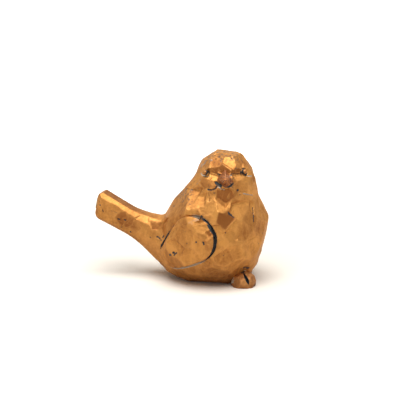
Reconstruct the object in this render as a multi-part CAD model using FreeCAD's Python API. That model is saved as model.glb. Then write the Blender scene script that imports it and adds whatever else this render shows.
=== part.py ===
import FreeCAD, Part
import os
from math import cos, sin, pi, radians, sqrt

# A bird-shaped vessel flute (ocarina), knife-carved in limewood and made hollow.
# Frame: origin at the middle of the flat under the belly, +X to the breast,
# +Y to the bird's left, +Z up. All sizes are millimetres.

Vector = FreeCAD.Vector

# ---- the body: five rounded lumps, carved as one convex form ----
# Each lump that the bird stands on is shaved flat underneath by its own amount.
BODY_LENGTH = 61.0
BODY_WIDTH = 59.0
BELLY_AHEAD = 1.8
BELLY_CENTRE_HEIGHT = 30.0
BELLY_SHAVED = 2.0
SHOULDER_LENGTH = 42.6
SHOULDER_WIDTH = 40.0
SHOULDER_RISE = 20.0
SHOULDER_FORWARD = 5.5       # of the belly's centre
SHOULDER_OVER_BELLY = 19.0
BREAST_LENGTH = 45.0
BREAST_WIDTH = 44.0
BREAST_BEHIND_FRONT = 1.8
BREAST_UNDER_BELLY = 8.0
BREAST_SHAVED = 1.5
BACK_LENGTH = 41.0
BACK_WIDTH = 34.0
BACK_RISE = 15.0
BACK_PAST_BACK = 1.3
BACK_OVER_BELLY = 5.0
RUMP_LENGTH = 40.0
RUMP_WIDTH = 40.0
RUMP_PAST_BACK = 4.3
RUMP_UNDER_BELLY = 11.5
RUMP_SHAVED = 1.0

# ---- the rump's run out into the tail ----
ROOT_LENGTH = 34.0
ROOT_WIDTH = 33.0
ROOT_PAST_BACK = 3.3
ROOT_UNDER_BELLY = 13.0
ROOT_TIP_LENGTH = 14.0
ROOT_TIP_WIDTH = 12.0
ROOT_TIP_RISE = 6.9
ROOT_TIP_ALONG = 17.5        # along the tail from its foot
ROOT_TIP_OVER = 0.9          # the tail's centre line

# ---- the hollow ----
WALL = 5.5
CHAMBER_TOP_BELOW_NECK = 9.0
SEAM_DOWEL_DIAMETER = 2.6
SEAM_DOWEL_LENGTH = 9.0
SEAM_DOWEL_ANGLES = (0, 40, 128, 236, 300)

# ---- the head, turned to look over the bird's right side ----
NECK_ABOVE_SHOULDER = 9.0    # the flat joint under the cheeks
HEAD_TURN = -77.0            # degrees from straight ahead
HEAD_FORWARD = 0.1           # of the shoulders' centre
CROWN_LENGTH = 33.0
CROWN_WIDTH = 34.2
CROWN_RISE = 16.0
CROWN_ABOVE_NECK = 5.3
CHEEK_LENGTH = 36.0
CHEEK_WIDTH = 38.6
CHEEK_RISE = 13.0
CHEEK_FORWARD = 2.0
CHEEK_BELOW_NECK = 1.0
NECK_DOWEL_DIAMETER = 9.0
NECK_DOWEL_IN_HEAD = 10.0
NECK_DOWEL_IN_BODY = 6.5

BEAK_ABOVE_NECK = 8.0
BEAK_WIDTH = 9.6
BEAK_TOP = 4.8
BEAK_BOTTOM = 4.8
BEAK_LENGTH = 4.6
BEAK_DROOP = 1.2
BEAK_TENON_DIAMETER = 3.5
BEAK_TENON_LENGTH = 6.0
EYE_DIAMETER = 3.2
EYE_ABOVE_NECK = 10.8
EYE_RIGHT_ANGLE = 42.0       # out from the beak, seen from above
EYE_LEFT_ANGLE = 46.0

# ---- the wings: panels let into shallow recesses ----
WING_PROUD = 1.7
WING_FROM_MIDDLE = 9.0
WING_SINK = 1.5
WING_GROOVE_FRONT = 1.3
WING_GROOVE_REAR = 0.6
WING_GROOVE_DEPTH = 1.0
WING_FRONT_RADIUS = 13.9
WING_FRONT_BEHIND = 8.3      # the belly's centre
WING_FRONT_OVER = 1.0
WING_REAR_RADIUS = 8.3
WING_REAR_FROM_BACK = 8.3
WING_REAR_UNDER = 11.4
WING_PEG_DIAMETER = 3.0
WING_PEG_IN_WING = 1.8
WING_PEG_IN_WALL = 2.4

# ---- the tail, which is the mouthpiece ----
TAIL_PITCH = 28.0
TAIL_FOOT_PAST_BACK = 1.3
TAIL_FOOT_UNDER_BELLY = 6.1
TAIL_LENGTH = 46.3
TAIL_WIDTH = 14.0
TAIL_ABOVE = 6.9
TAIL_BELOW = 8.5
TAIL_SPREAD = 1.7            # degrees its underside drops away towards the end
TAIL_CHAMFER = 2.6
TAIL_END_LEAN = 16.0         # degrees the end face leans off square
TAIL_JOINT = 5.0             # from the tail's foot to the glued joint
TAIL_JOINT_RISE = 12.0       # the joint face's top over the tail's centre line
TENON_DIAMETER = 14.0
TENON_LENGTH = 8.0
BORE_DIAMETER = 10.0
BORE_BELOW = 1.0
WINDWAY_HEIGHT = 1.3
WINDOW_LENGTH = 6.0
WINDOW_WIDTH = 7.0
WINDOW_FROM_JOINT = 10.0
LABIUM_RAMP = 6.0
LABIUM_EDGE = 0.8

# ---- finger holes in the left wall: turn, tilt (degrees) and diameter ----
FINGER_HOLES = ((38, 22, 5.0), (62, 22, 6.0), (38, -8, 5.5), (62, -8, 7.0))

# ---- the feet ----
FOOT_LENGTH = 17.0
FOOT_WIDTH = 14.5
FOOT_HEIGHT = 9.0
FOOT_SINK = 2.0              # the carved lump's centre over the ground
RIGHT_FOOT_BEHIND_FRONT = 11.3
RIGHT_FOOT_IN_FROM_SIDE = 19.7
RIGHT_FOOT_TURN = 50.0
LEFT_FOOT_BEHIND_FRONT = 18.3
LEFT_FOOT_IN_FROM_SIDE = 17.0
LEFT_FOOT_TURN = 30.0
TOE_SLIT_WIDTH = 1.5
TOE_SLIT_DEPTH = 3.0
FOOT_PEG_DIAMETER = 4.0
FOOT_PEG_FROM_GROUND = 1.5
FOOT_PEG_LENGTH = 9.0

# ---- the knife ----
BODY_CUT_COUNT = 130
HEAD_CUT_COUNT = 64
ROOT_CUT_COUNT = 170
WING_CUT_COUNT = 96
FOOT_CUT_COUNT = 34
CUT_DEPTH = 0.5              # how much one cut may go deeper than its neighbour
CUT_WANDER = 0.09            # how far cuts stray from even spacing
GLUE_GAP = 0.05              # round every dowel, tenon and peg

# The big scoops cut by hand: turn and tilt (degrees) seen from the middle of their
# piece, half the scoop's width, and the knife's hollow radius.
BODY_SCOOPS = ((-62.5, 49.0, 4.0, 14), (-67.5, 25.5, 6.2, 24), (-108.0, 40.0, 6.0, 40),
               (-93.0, 37.0, 5.2, 26), (-48.0, 35.0, 4.6, 24), (-45.0, 13.5, 7.2, 50),
               (-123.6, 49.3, 4.6, 30))
HEAD_SCOOPS = ((-61.6, 44.1, 4.4, 17), (-102.0, 38.4, 4.4, 18), (-79.0, 24.7, 3.2, 9),
               (-113.2, 8.1, 3.4, 14), (-51.0, 9.0, 3.4, 14), (-44.5, 27.7, 3.4, 16))
TAIL_SCOOPS = ((27.7, -0.1, 3.6, 10), (23.3, 0.1, 3.4, 10), (17.9, -0.4, 3.6, 14),
               (15.8, 6.4, 3.8, 16))        # along the bar and over its middle instead
WING_SCOOPS = ((-2.0, 12.0, 4.2, 16), (5.0, 11.0, 3.8, 14), (10.5, 6.5, 3.6, 12),
               (-6.0, 2.5, 6.5, 45), (3.5, -4.5, 6.0, 40), (-10.5, -7.0, 5.5, 36))
                                            # ahead of and over the front circle's centre

BLOCK = 150.0                # half size of the blank that is carved
GOLDEN_TURN = pi * (1 + sqrt(5))

BODY_FRONT = BELLY_AHEAD + BODY_LENGTH / 2
BODY_BACK = BELLY_AHEAD - BODY_LENGTH / 2
SHOULDER_AHEAD = BELLY_AHEAD + SHOULDER_FORWARD
SHOULDER_HEIGHT = BELLY_CENTRE_HEIGHT + SHOULDER_OVER_BELLY
BREAST_HEIGHT = BELLY_CENTRE_HEIGHT - BREAST_UNDER_BELLY
BACK_HEIGHT = BELLY_CENTRE_HEIGHT + BACK_OVER_BELLY
RUMP_HEIGHT = BELLY_CENTRE_HEIGHT - RUMP_UNDER_BELLY
ROOT_HEIGHT = BELLY_CENTRE_HEIGHT - ROOT_UNDER_BELLY
NECK_HEIGHT = SHOULDER_HEIGHT + NECK_ABOVE_SHOULDER
HEAD_CENTRE = Vector(SHOULDER_AHEAD + HEAD_FORWARD, 0, NECK_HEIGHT)
FACE = Vector(cos(radians(HEAD_TURN)), sin(radians(HEAD_TURN)), 0)
CHEEKWARD = Vector(-FACE.y, FACE.x, 0)
UP = Vector(0, 0, 1)
TAIL_AXIS = Vector(-cos(radians(TAIL_PITCH)), 0, sin(radians(TAIL_PITCH)))
TAIL_UP = Vector(sin(radians(TAIL_PITCH)), 0, cos(radians(TAIL_PITCH)))
TAIL_FOOT = Vector(BODY_BACK - TAIL_FOOT_PAST_BACK, 0,
                   BELLY_CENTRE_HEIGHT - TAIL_FOOT_UNDER_BELLY)


# ---------------------------------------------------------------- carving

def lump(centre, length, width, rise, heading=Vector(1, 0, 0)):
    """A rounded lump: its centre, its own axes and its half sizes along them."""
    side = Vector(-heading.y, heading.x, 0)
    return centre, ((heading, length / 2), (side, width / 2), (UP, rise))


def reach_of(lumps, way):
    """How far the lumps, wrapped in a tight skin, reach out in one direction."""
    reaches = []
    for centre, axes in lumps:
        stretch = sqrt(sum((half * way.dot(axis)) ** 2 for axis, half in axes))
        reaches.append(centre.dot(way) + stretch)
    return max(reaches)


def knife_cuts(lumps, count, start):
    """Flat cuts all round the lumps, each one (outward direction, distance)."""
    cuts = []
    for number in range(count):
        rise = 1 - (2 * number + 1) / count + CUT_WANDER * sin(7.9 * number + start)
        rise = max(-0.999, min(0.999, rise))
        turn = GOLDEN_TURN * number + 2 * CUT_WANDER * sin(5.3 * number + 2 * start)
        flat = sqrt(1 - rise * rise)
        way = Vector(flat * cos(turn), flat * sin(turn), rise)
        depth = CUT_DEPTH * (0.5 + 0.5 * sin(3.7 * number + 3 * start))
        cuts.append((way, reach_of(lumps, way) - depth))
    return cuts


def moved_out(cuts, amount):
    """The same cuts, each set further out (or in, for a negative amount)."""
    return [(way, distance + amount) for way, distance in cuts]


def clip(polygon, way, distance):
    """A flat polygon with the part beyond one cut taken off, and the new corners."""
    kept = []
    fresh = []
    for here, there in zip(polygon, polygon[1:] + polygon[:1]):
        over_here = here.dot(way) - distance
        over_there = there.dot(way) - distance
        if over_here <= 0:
            kept.append(here)
        if (over_here <= 0) != (over_there <= 0):
            corner = here + (there - here) * (over_here / (over_here - over_there))
            kept.append(corner)
            fresh.append(corner)
    return kept, fresh


def ring_sorted(corners, way):
    """The corners of a fresh cut face, put in order round the middle of the face."""
    middle = sum(corners, Vector()) * (1 / len(corners))
    first = (corners[0] - middle).normalize()
    second = way.cross(first)

    def turn(corner):
        spoke = corner - middle
        along = spoke.dot(first)
        across = spoke.dot(second)
        share = along / sqrt(along * along + across * across)
        return 1 - share if across >= 0 else 3 + share

    ordered = sorted(corners, key=turn)
    return [corner for corner, other in zip(ordered, ordered[1:] + ordered[:1])
            if corner.distanceToPoint(other) > 1e-7]


def carve(cuts):
    """The convex solid that flat knife cuts leave of a big block."""
    block = Part.makeBox(2 * BLOCK, 2 * BLOCK, 2 * BLOCK, Vector(-BLOCK, -BLOCK, -BLOCK))
    polygons = [[vertex.Point for vertex in face.OuterWire.OrderedVertexes]
                for face in block.Faces]
    for way, distance in cuts:
        left = []
        rim = []
        for polygon in polygons:
            kept, fresh = clip(polygon, way, distance)
            rim += fresh
            if len(kept) > 2:
                left.append(kept)
        if len(rim) > 5:
            left.append(ring_sorted(rim, way))
        polygons = left
    faces = [Part.Face(Part.makePolygon(polygon + polygon[:1])) for polygon in polygons]
    shell = Part.makeShell(faces)
    shell.sewShape()
    solid = Part.makeSolid(shell)
    if solid.Volume < 0:
        solid.reverse()
    return solid


def way_out(cuts, start, heading):
    """Distance from a point inside carved wood to its surface, along a heading."""
    return min((distance - way.dot(start)) / way.dot(heading)
               for way, distance in cuts if way.dot(heading) > 1e-6)


def scoop(cuts, inside, heading, half_width, hollow):
    """The ball that a hollow knife takes out, square to the flat cut it starts on."""
    out = way_out(cuts, inside, heading)
    spot = inside + heading * out
    square = min(cuts, key=lambda cut: abs(cut[1] - cut[0].dot(spot)))[0]
    depth = hollow - sqrt(hollow * hollow - half_width * half_width)
    return Part.makeSphere(hollow, spot + square * (hollow - depth))


def seen_at(turn, tilt):
    """A heading from its turn about the upright and its tilt over the level, in degrees."""
    level = cos(radians(tilt))
    return Vector(level * cos(radians(turn)), level * sin(radians(turn)), sin(radians(tilt)))


def rod(diameter, length, start, heading):
    return Part.makeCylinder(diameter / 2, length, start, heading)


def hole_for(diameter, length, start, heading):
    return rod(diameter + 2 * GLUE_GAP, length, start, heading)


def block_beyond(point, heading):
    """A block that fills everything on the far side of a flat joint."""
    block = Part.makeBox(4 * BLOCK, 4 * BLOCK, 2 * BLOCK, Vector(-2 * BLOCK, -2 * BLOCK, 0))
    block.Placement = FreeCAD.Placement(point, FreeCAD.Rotation(UP, heading))
    return block


def save(name, shape):
    solids = shape.Solids
    bad = [solid for solid in solids if not solid.isValid()]
    print(name, "solids", len(solids), "invalid", len(bad), "volume", round(shape.Volume, 1))
    shape.exportStep("parts/" + name + ".step")


# ------------------------------------------------------ the outer forms

body_lumps = (
    lump(Vector(BELLY_AHEAD, 0, BELLY_CENTRE_HEIGHT), BODY_LENGTH, BODY_WIDTH,
         BELLY_CENTRE_HEIGHT + BELLY_SHAVED),
    lump(Vector(SHOULDER_AHEAD, 0, SHOULDER_HEIGHT), SHOULDER_LENGTH, SHOULDER_WIDTH,
         SHOULDER_RISE),
    lump(Vector(BODY_FRONT - BREAST_BEHIND_FRONT - BREAST_LENGTH / 2, 0, BREAST_HEIGHT),
         BREAST_LENGTH, BREAST_WIDTH, BREAST_HEIGHT + BREAST_SHAVED),
    lump(Vector(BODY_BACK - BACK_PAST_BACK + BACK_LENGTH / 2, 0, BACK_HEIGHT),
         BACK_LENGTH, BACK_WIDTH, BACK_RISE),
    lump(Vector(BODY_BACK - RUMP_PAST_BACK + RUMP_LENGTH / 2, 0, RUMP_HEIGHT),
         RUMP_LENGTH, RUMP_WIDTH, RUMP_HEIGHT + RUMP_SHAVED),
)
root_tip = TAIL_FOOT + TAIL_AXIS * ROOT_TIP_ALONG + UP * ROOT_TIP_OVER
root_lumps = (
    lump(Vector(BODY_BACK - ROOT_PAST_BACK + ROOT_LENGTH / 2, 0, ROOT_HEIGHT),
         ROOT_LENGTH, ROOT_WIDTH, ROOT_HEIGHT),
    lump(root_tip, ROOT_TIP_LENGTH, ROOT_TIP_WIDTH, ROOT_TIP_RISE),
)
head_lumps = (
    lump(HEAD_CENTRE + UP * CROWN_ABOVE_NECK, CROWN_LENGTH, CROWN_WIDTH, CROWN_RISE, FACE),
    lump(HEAD_CENTRE + FACE * CHEEK_FORWARD - UP * CHEEK_BELOW_NECK,
         CHEEK_LENGTH, CHEEK_WIDTH, CHEEK_RISE, FACE),
)
ground_cut = [(-UP, 0.0)]

body_cuts = knife_cuts(body_lumps, BODY_CUT_COUNT, 1.0)
root_cuts = knife_cuts(root_lumps, ROOT_CUT_COUNT, 2.0)
head_cuts = knife_cuts(head_lumps, HEAD_CUT_COUNT, 3.0)


def tail_cuts():
    """The squared bar of the tail: four sides, four chamfers, a leaning end."""
    side = Vector(0, 1, 0)
    lean = radians(TAIL_END_LEAN)
    end = TAIL_AXIS * cos(lean) - TAIL_UP * sin(lean)
    spread = radians(TAIL_SPREAD)
    under = -TAIL_UP * cos(spread) - TAIL_AXIS * sin(spread)
    flats = [(TAIL_UP, TAIL_ABOVE), (under, TAIL_BELOW * cos(spread)),
             (side, TAIL_WIDTH / 2), (-side, TAIL_WIDTH / 2),
             (end, TAIL_LENGTH * cos(lean))]
    cuts = list(flats)
    corner_pairs = [(0, 2), (0, 3), (1, 2), (1, 3), (4, 0), (4, 1), (4, 2), (4, 3)]
    for one, other in corner_pairs:
        way_one, far_one = flats[one]
        way_other, far_other = flats[other]
        both = way_one + way_other
        reach = far_one + far_other - TAIL_CHAMFER
        cuts.append((both * (1 / both.Length), reach / both.Length))
    cuts.append((-TAIL_AXIS, TENON_LENGTH))
    return [(way, distance + way.dot(TAIL_FOOT)) for way, distance in cuts]


body_form = carve(body_cuts + ground_cut)
root_form = carve(root_cuts + ground_cut)
head_form = carve(head_cuts)
tail_form = carve(tail_cuts())
whole_bird = body_form.multiFuse([root_form, head_form, tail_form])

chamber_middle = Vector(BELLY_AHEAD, 0, BELLY_CENTRE_HEIGHT)
head_middle = HEAD_CENTRE + UP * CROWN_ABOVE_NECK
scoops = [scoop(body_cuts, chamber_middle, seen_at(turn, tilt), half_width, hollow)
          for turn, tilt, half_width, hollow in BODY_SCOOPS]
scoops += [scoop(head_cuts, head_middle, seen_at(turn, tilt), half_width, hollow)
           for turn, tilt, half_width, hollow in HEAD_SCOOPS]
scoops += [scoop(tail_cuts(), TAIL_FOOT + TAIL_AXIS * along + TAIL_UP * over, Vector(0, -1, 0),
                 half_width, hollow)
           for along, over, half_width, hollow in TAIL_SCOOPS]
whole_bird = whole_bird.cut(scoops)

above_neck = block_beyond(Vector(0, 0, NECK_HEIGHT), UP)
tail_joint = TAIL_FOOT + TAIL_AXIS * TAIL_JOINT
over_joint = block_beyond(tail_joint + TAIL_UP * TAIL_JOINT_RISE, TAIL_UP)
behind_joint = block_beyond(tail_joint, TAIL_AXIS).cut(over_joint)


# ------------------------------------------------------------ the body

def tail_bore(diameter, start_along, end_along):
    """A round stretch on the windway's axis, measured along the tail."""
    start = TAIL_FOOT + TAIL_AXIS * start_along - TAIL_UP * BORE_BELOW
    return rod(diameter, end_along - start_along, start, TAIL_AXIS)


chamber_ceiling = [(UP, NECK_HEIGHT - CHAMBER_TOP_BELOW_NECK)]
chamber_cuts = moved_out(body_cuts, -WALL) + chamber_ceiling + [(-UP, -WALL)]
chamber = carve(chamber_cuts)

body = whole_bird.cut(above_neck).cut(behind_joint).cut(chamber)
body = body.cut(tail_bore(TENON_DIAMETER + 2 * GLUE_GAP, TAIL_JOINT - TENON_LENGTH,
                          TAIL_JOINT + 1))
body = body.cut(tail_bore(BORE_DIAMETER, -RUMP_LENGTH / 2, TAIL_JOINT))

neck_dowel_foot = HEAD_CENTRE - UP * NECK_DOWEL_IN_BODY
neck_dowel_length = NECK_DOWEL_IN_BODY + NECK_DOWEL_IN_HEAD
neck_hole = hole_for(NECK_DOWEL_DIAMETER, neck_dowel_length, neck_dowel_foot, UP)
body = body.cut(neck_hole)

seam_dowels = []
for angle in SEAM_DOWEL_ANGLES:
    heading = Vector(cos(radians(angle)), 0, sin(radians(angle)))
    outside = way_out(body_cuts + ground_cut, chamber_middle, heading)
    inside = way_out(chamber_cuts, chamber_middle, heading)
    middle = chamber_middle + heading * ((outside + inside) / 2)
    start = middle - Vector(0, SEAM_DOWEL_LENGTH / 2, 0)
    seam_dowels.append(rod(SEAM_DOWEL_DIAMETER, SEAM_DOWEL_LENGTH, start, Vector(0, 1, 0)))
    body = body.cut(hole_for(SEAM_DOWEL_DIAMETER, SEAM_DOWEL_LENGTH, start, Vector(0, 1, 0)))

for turn, tilt, diameter in FINGER_HOLES:
    heading = Vector(cos(radians(turn)) * cos(radians(tilt)),
                     sin(radians(turn)) * cos(radians(tilt)), sin(radians(tilt)))
    inside = way_out(chamber_cuts, chamber_middle, heading)
    outside = way_out(body_cuts, chamber_middle, heading)
    start = chamber_middle + heading * (inside - WALL)
    body = body.cut(rod(diameter, outside - inside + 2 * WALL, start, heading))


# ------------------------------------------------------------ the wings

wing_hubs = (
    Vector(BELLY_AHEAD - WING_FRONT_BEHIND, 0, BELLY_CENTRE_HEIGHT + WING_FRONT_OVER),
    Vector(BODY_BACK + WING_REAR_FROM_BACK, 0, BELLY_CENTRE_HEIGHT - WING_REAR_UNDER),
)


def wing_outline(front_extra, rear_extra, side):
    """The egg-shaped outline of a wing as a block that runs out to one side."""
    front, rear = [hub + Vector(0, side * WING_FROM_MIDDLE, 0) for hub in wing_hubs]
    front_radius = WING_FRONT_RADIUS + front_extra
    rear_radius = WING_REAR_RADIUS + rear_extra
    line = rear - front
    span = line.Length
    along = line * (1 / span)
    across = Vector(-along.z, 0, along.x)
    slope = (front_radius - rear_radius) / span
    square = sqrt(1 - slope * slope)
    corners = []
    for hub, radius in ((front, front_radius), (rear, rear_radius)):
        for flip in (-1, 1):
            corners.append(hub + along * (radius * slope) + across * (radius * square * flip))
    ring = [corners[0], corners[1], corners[3], corners[2], corners[0]]
    heading = Vector(0, side, 0)
    slab = Part.Face(Part.makePolygon(ring)).extrude(heading * BODY_WIDTH)
    discs = [rod(2 * front_radius, BODY_WIDTH, front, heading),
             rod(2 * rear_radius, BODY_WIDTH, rear, heading)]
    return slab.multiFuse(discs).removeSplitter()


sunk_form = carve(moved_out(body_cuts, -WING_SINK)).fuse(carve(moved_out(root_cuts, -WING_SINK)))
grooved_form = carve(moved_out(body_cuts, -WING_GROOVE_DEPTH))
grooved_form = grooved_form.fuse(carve(moved_out(root_cuts, -WING_GROOVE_DEPTH)))
wings = {}
wing_pegs = []
for name, side in (("wing_right", -1), ("wing_left", 1)):
    heading = Vector(0, side, 0)
    proud_cuts = moved_out(knife_cuts(body_lumps, WING_CUT_COUNT, 4.0 + side), WING_PROUD)
    proud_body = carve(proud_cuts)
    proud_root = carve(moved_out(root_cuts, WING_PROUD))
    wing = proud_body.fuse(proud_root).common(wing_outline(0.0, 0.0, side)).cut(sunk_form)
    wing = wing.cut([scoop(proud_cuts, wing_hubs[0] + Vector(ahead, 0, over), heading, width, hollow)
                     for ahead, over, width, hollow in WING_SCOOPS])
    body = body.cut(wing_outline(GLUE_GAP, GLUE_GAP, side).cut(sunk_form))
    groove = wing_outline(WING_GROOVE_FRONT, WING_GROOVE_REAR, side)
    body = body.cut(groove.cut(grooved_form))
    for deep in wing_hubs:
        floor = max(way_out(moved_out(cuts, -WING_SINK), deep, heading)
                    for cuts in (body_cuts, root_cuts))
        start = deep + heading * (floor - WING_PEG_IN_WALL)
        length = WING_PEG_IN_WALL + WING_PEG_IN_WING
        wing_pegs.append(rod(WING_PEG_DIAMETER, length, start, heading))
        peg_hole = hole_for(WING_PEG_DIAMETER, length, start, heading)
        wing = wing.cut(peg_hole)
        body = body.cut(peg_hole)
    wings[name] = wing


# ------------------------------------------------------------ the feet

feet = {}
foot_pegs = []
for name, side, back_from_front, in_from_side, turn in (
        ("foot_right", -1, RIGHT_FOOT_BEHIND_FRONT, RIGHT_FOOT_IN_FROM_SIDE, RIGHT_FOOT_TURN),
        ("foot_left", 1, LEFT_FOOT_BEHIND_FRONT, LEFT_FOOT_IN_FROM_SIDE, LEFT_FOOT_TURN)):
    ahead = BODY_FRONT - back_from_front
    out = BODY_WIDTH / 2 - in_from_side
    toes = Vector(cos(radians(turn)), side * sin(radians(turn)), 0)
    middle = Vector(ahead, side * out, FOOT_SINK)
    foot_lump = (lump(middle, FOOT_LENGTH, FOOT_WIDTH, FOOT_HEIGHT - FOOT_SINK, toes),)
    foot = carve(knife_cuts(foot_lump, FOOT_CUT_COUNT, 5.0 + side) + ground_cut)
    foot = foot.cut(body_form).cut(chamber)
    slit = Part.makeBox(TOE_SLIT_DEPTH, TOE_SLIT_WIDTH, FOOT_HEIGHT,
                        Vector(FOOT_LENGTH / 2 - TOE_SLIT_DEPTH, -TOE_SLIT_WIDTH / 2, -FOOT_SINK))
    slit.Placement = FreeCAD.Placement(middle, FreeCAD.Rotation(Vector(1, 0, 0), toes))
    foot = foot.cut(slit)
    peg_foot = Vector(ahead, side * out, FOOT_PEG_FROM_GROUND)
    foot_pegs.append(rod(FOOT_PEG_DIAMETER, FOOT_PEG_LENGTH, peg_foot, UP))
    peg_hole = hole_for(FOOT_PEG_DIAMETER, FOOT_PEG_LENGTH, peg_foot, UP)
    feet[name] = foot.cut(peg_hole)
    body = body.cut(peg_hole)


# ------------------------------------------- the head, the beak, the eyes

head = whole_bird.common(above_neck).cut(neck_hole)

beak_root = HEAD_CENTRE + UP * BEAK_ABOVE_NECK


def on_face(sideways, upward):
    """The point of the head's face this far to the side of, and over, the beak's middle."""
    inside = beak_root + CHEEKWARD * sideways + UP * upward
    return inside + FACE * way_out(head_cuts, inside, FACE)


beak_seat = on_face(0.0, 0.0)
beak_point = beak_seat + FACE * BEAK_LENGTH - UP * BEAK_DROOP
beak_corners = (on_face(0.0, BEAK_TOP), on_face(BEAK_WIDTH / 2, 0.0),
                on_face(0.0, -BEAK_BOTTOM), on_face(-BEAK_WIDTH / 2, 0.0))
beak_cuts = [(-FACE, -FACE.dot(beak_seat) + BEAK_LENGTH)]
for way, reach in ((CHEEKWARD, BEAK_WIDTH / 2), (-CHEEKWARD, BEAK_WIDTH / 2),
                   (UP, BEAK_TOP), (-UP, BEAK_BOTTOM)):
    beak_cuts.append((way, way.dot(beak_seat) + reach))
for one, other in zip(beak_corners, beak_corners[1:] + beak_corners[:1]):
    flat = (one - beak_point).cross(other - beak_point).normalize()
    if flat.dot(beak_seat - beak_point) > 0:
        flat = -flat
    beak_cuts.append((flat, flat.dot(beak_point)))
tenon_start = beak_seat + FACE * (BEAK_LENGTH / 2)
tenon_length = BEAK_TENON_LENGTH + BEAK_LENGTH / 2
beak_tenon = rod(BEAK_TENON_DIAMETER, tenon_length, tenon_start, -FACE)
beak = carve(beak_cuts).cut(head_form).fuse(beak_tenon.common(carve(beak_cuts).fuse(head_form)))
beak = beak.removeSplitter()
head = head.cut(hole_for(BEAK_TENON_DIAMETER, tenon_length, tenon_start, -FACE))

eyes = {}
for name, angle in (("eye_right", -EYE_RIGHT_ANGLE), ("eye_left", EYE_LEFT_ANGLE)):
    inside = HEAD_CENTRE + UP * EYE_ABOVE_NECK
    spread = radians(angle)
    heading = FACE * cos(spread) + CHEEKWARD * sin(spread)
    middle = inside + heading * way_out(head_cuts, inside, heading)
    eyes[name] = Part.makeSphere(EYE_DIAMETER / 2, middle)
    head = head.cut(hole_for(EYE_DIAMETER, EYE_DIAMETER, middle - heading * (EYE_DIAMETER / 2),
                             heading))


# ------------------------------------- the tail mouthpiece and its block

tail = whole_bird.common(behind_joint)
tail = tail.fuse(tail_bore(TENON_DIAMETER, TAIL_JOINT - TENON_LENGTH, TAIL_JOINT))
bore_start = TAIL_JOINT - TENON_LENGTH
tail = tail.cut(tail_bore(BORE_DIAMETER, bore_start, TAIL_LENGTH + TAIL_WIDTH))

window_start = TAIL_JOINT + WINDOW_FROM_JOINT
bore_floor = -BORE_BELOW - BORE_DIAMETER / 2


def tail_prism(points, width):
    """A block across the tail from points given as (along, above its centre line)."""
    ring = [TAIL_FOOT + TAIL_AXIS * along + TAIL_UP * above - Vector(0, width / 2, 0)
            for along, above in points]
    return Part.Face(Part.makePolygon(ring + ring[:1])).extrude(Vector(0, width, 0))


under = -TAIL_BELOW - ROOT_HEIGHT
edge_height = bore_floor + WINDWAY_HEIGHT / 2 - LABIUM_EDGE / 2
window = tail_prism(((window_start, -BORE_BELOW), (window_start + WINDOW_LENGTH, -BORE_BELOW),
                     (window_start + WINDOW_LENGTH, under), (window_start, under)), WINDOW_WIDTH)
ramp = tail_prism(((window_start, edge_height), (window_start, under),
                   (window_start - LABIUM_RAMP, under),
                   (window_start - LABIUM_RAMP, -TAIL_BELOW)), WINDOW_WIDTH)
tail = tail.cut(window).cut(ramp)

block = tail_bore(BORE_DIAMETER - 2 * GLUE_GAP, window_start + WINDOW_LENGTH,
                  TAIL_LENGTH + TAIL_WIDTH)
block = block.common(tail_form)
windway = tail_prism(((window_start, bore_floor + WINDWAY_HEIGHT),
                      (TAIL_LENGTH + TAIL_WIDTH, bore_floor + WINDWAY_HEIGHT),
                      (TAIL_LENGTH + TAIL_WIDTH, under), (window_start, under)), TAIL_WIDTH)
block = block.cut(windway)


# ------------------------------------------------------------ the files

right_side = block_beyond(Vector(), Vector(0, -1, 0))
left_side = block_beyond(Vector(), Vector(0, 1, 0))

os.makedirs("parts", exist_ok=True)
save("body_shell_right", body.common(right_side))
save("body_shell_left", body.common(left_side))
save("seam_dowels", Part.makeCompound(seam_dowels))
save("head", head)
save("neck_dowel", rod(NECK_DOWEL_DIAMETER, neck_dowel_length, neck_dowel_foot, UP))
save("beak", beak)
for name, shape in list(eyes.items()) + list(wings.items()) + list(feet.items()):
    save(name, shape)
save("wing_pegs", Part.makeCompound(wing_pegs))
save("foot_pegs", Part.makeCompound(foot_pegs))
save("tail_mouthpiece", tail)
save("windway_block", block)
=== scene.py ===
import math

import bpy
import numpy as np
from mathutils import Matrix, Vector


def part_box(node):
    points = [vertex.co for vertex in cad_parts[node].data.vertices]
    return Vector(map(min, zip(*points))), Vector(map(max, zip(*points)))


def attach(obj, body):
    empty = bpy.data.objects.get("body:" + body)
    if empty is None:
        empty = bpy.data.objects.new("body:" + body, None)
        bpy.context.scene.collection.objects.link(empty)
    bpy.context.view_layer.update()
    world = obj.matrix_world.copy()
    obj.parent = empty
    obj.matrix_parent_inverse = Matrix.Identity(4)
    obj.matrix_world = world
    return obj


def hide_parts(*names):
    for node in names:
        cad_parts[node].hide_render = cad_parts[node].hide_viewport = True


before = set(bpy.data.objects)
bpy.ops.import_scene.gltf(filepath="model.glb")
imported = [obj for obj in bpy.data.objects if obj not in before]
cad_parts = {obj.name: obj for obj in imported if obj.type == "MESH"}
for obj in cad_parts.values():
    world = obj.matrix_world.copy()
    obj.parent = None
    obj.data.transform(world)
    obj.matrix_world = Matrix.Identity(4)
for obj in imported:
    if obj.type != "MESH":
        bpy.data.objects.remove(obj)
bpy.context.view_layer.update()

# ---------------------------------------------------------------------------
# The table, the light and the camera.
# The bird stands on a white sheet under one big soft lamp that hangs over and in
# front of it, with a pale room all round.
# ---------------------------------------------------------------------------
TABLE_SIZE = 12.0
WHITE = (1, 1, 1, 1)
SHEET_LIT = (0.52, 0.48, 0.43, 1)
SHEET_SEEN = (1.0, 0.955, 0.88, 1)
ROOM_LIGHT = (0.22, 0.203, 0.172, 1)
BRIGHT_WALL = (-0.35, 0.35, 0.9)
LAMP_PLACE = (0.02, -0.26, 1.05)
LAMP_SIZE = 1.0
LAMP_WATTS = 15.4
LAMP_AIM = Vector((0, 0, 0.04))
CAMERA_TURN = math.radians(12)
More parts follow.
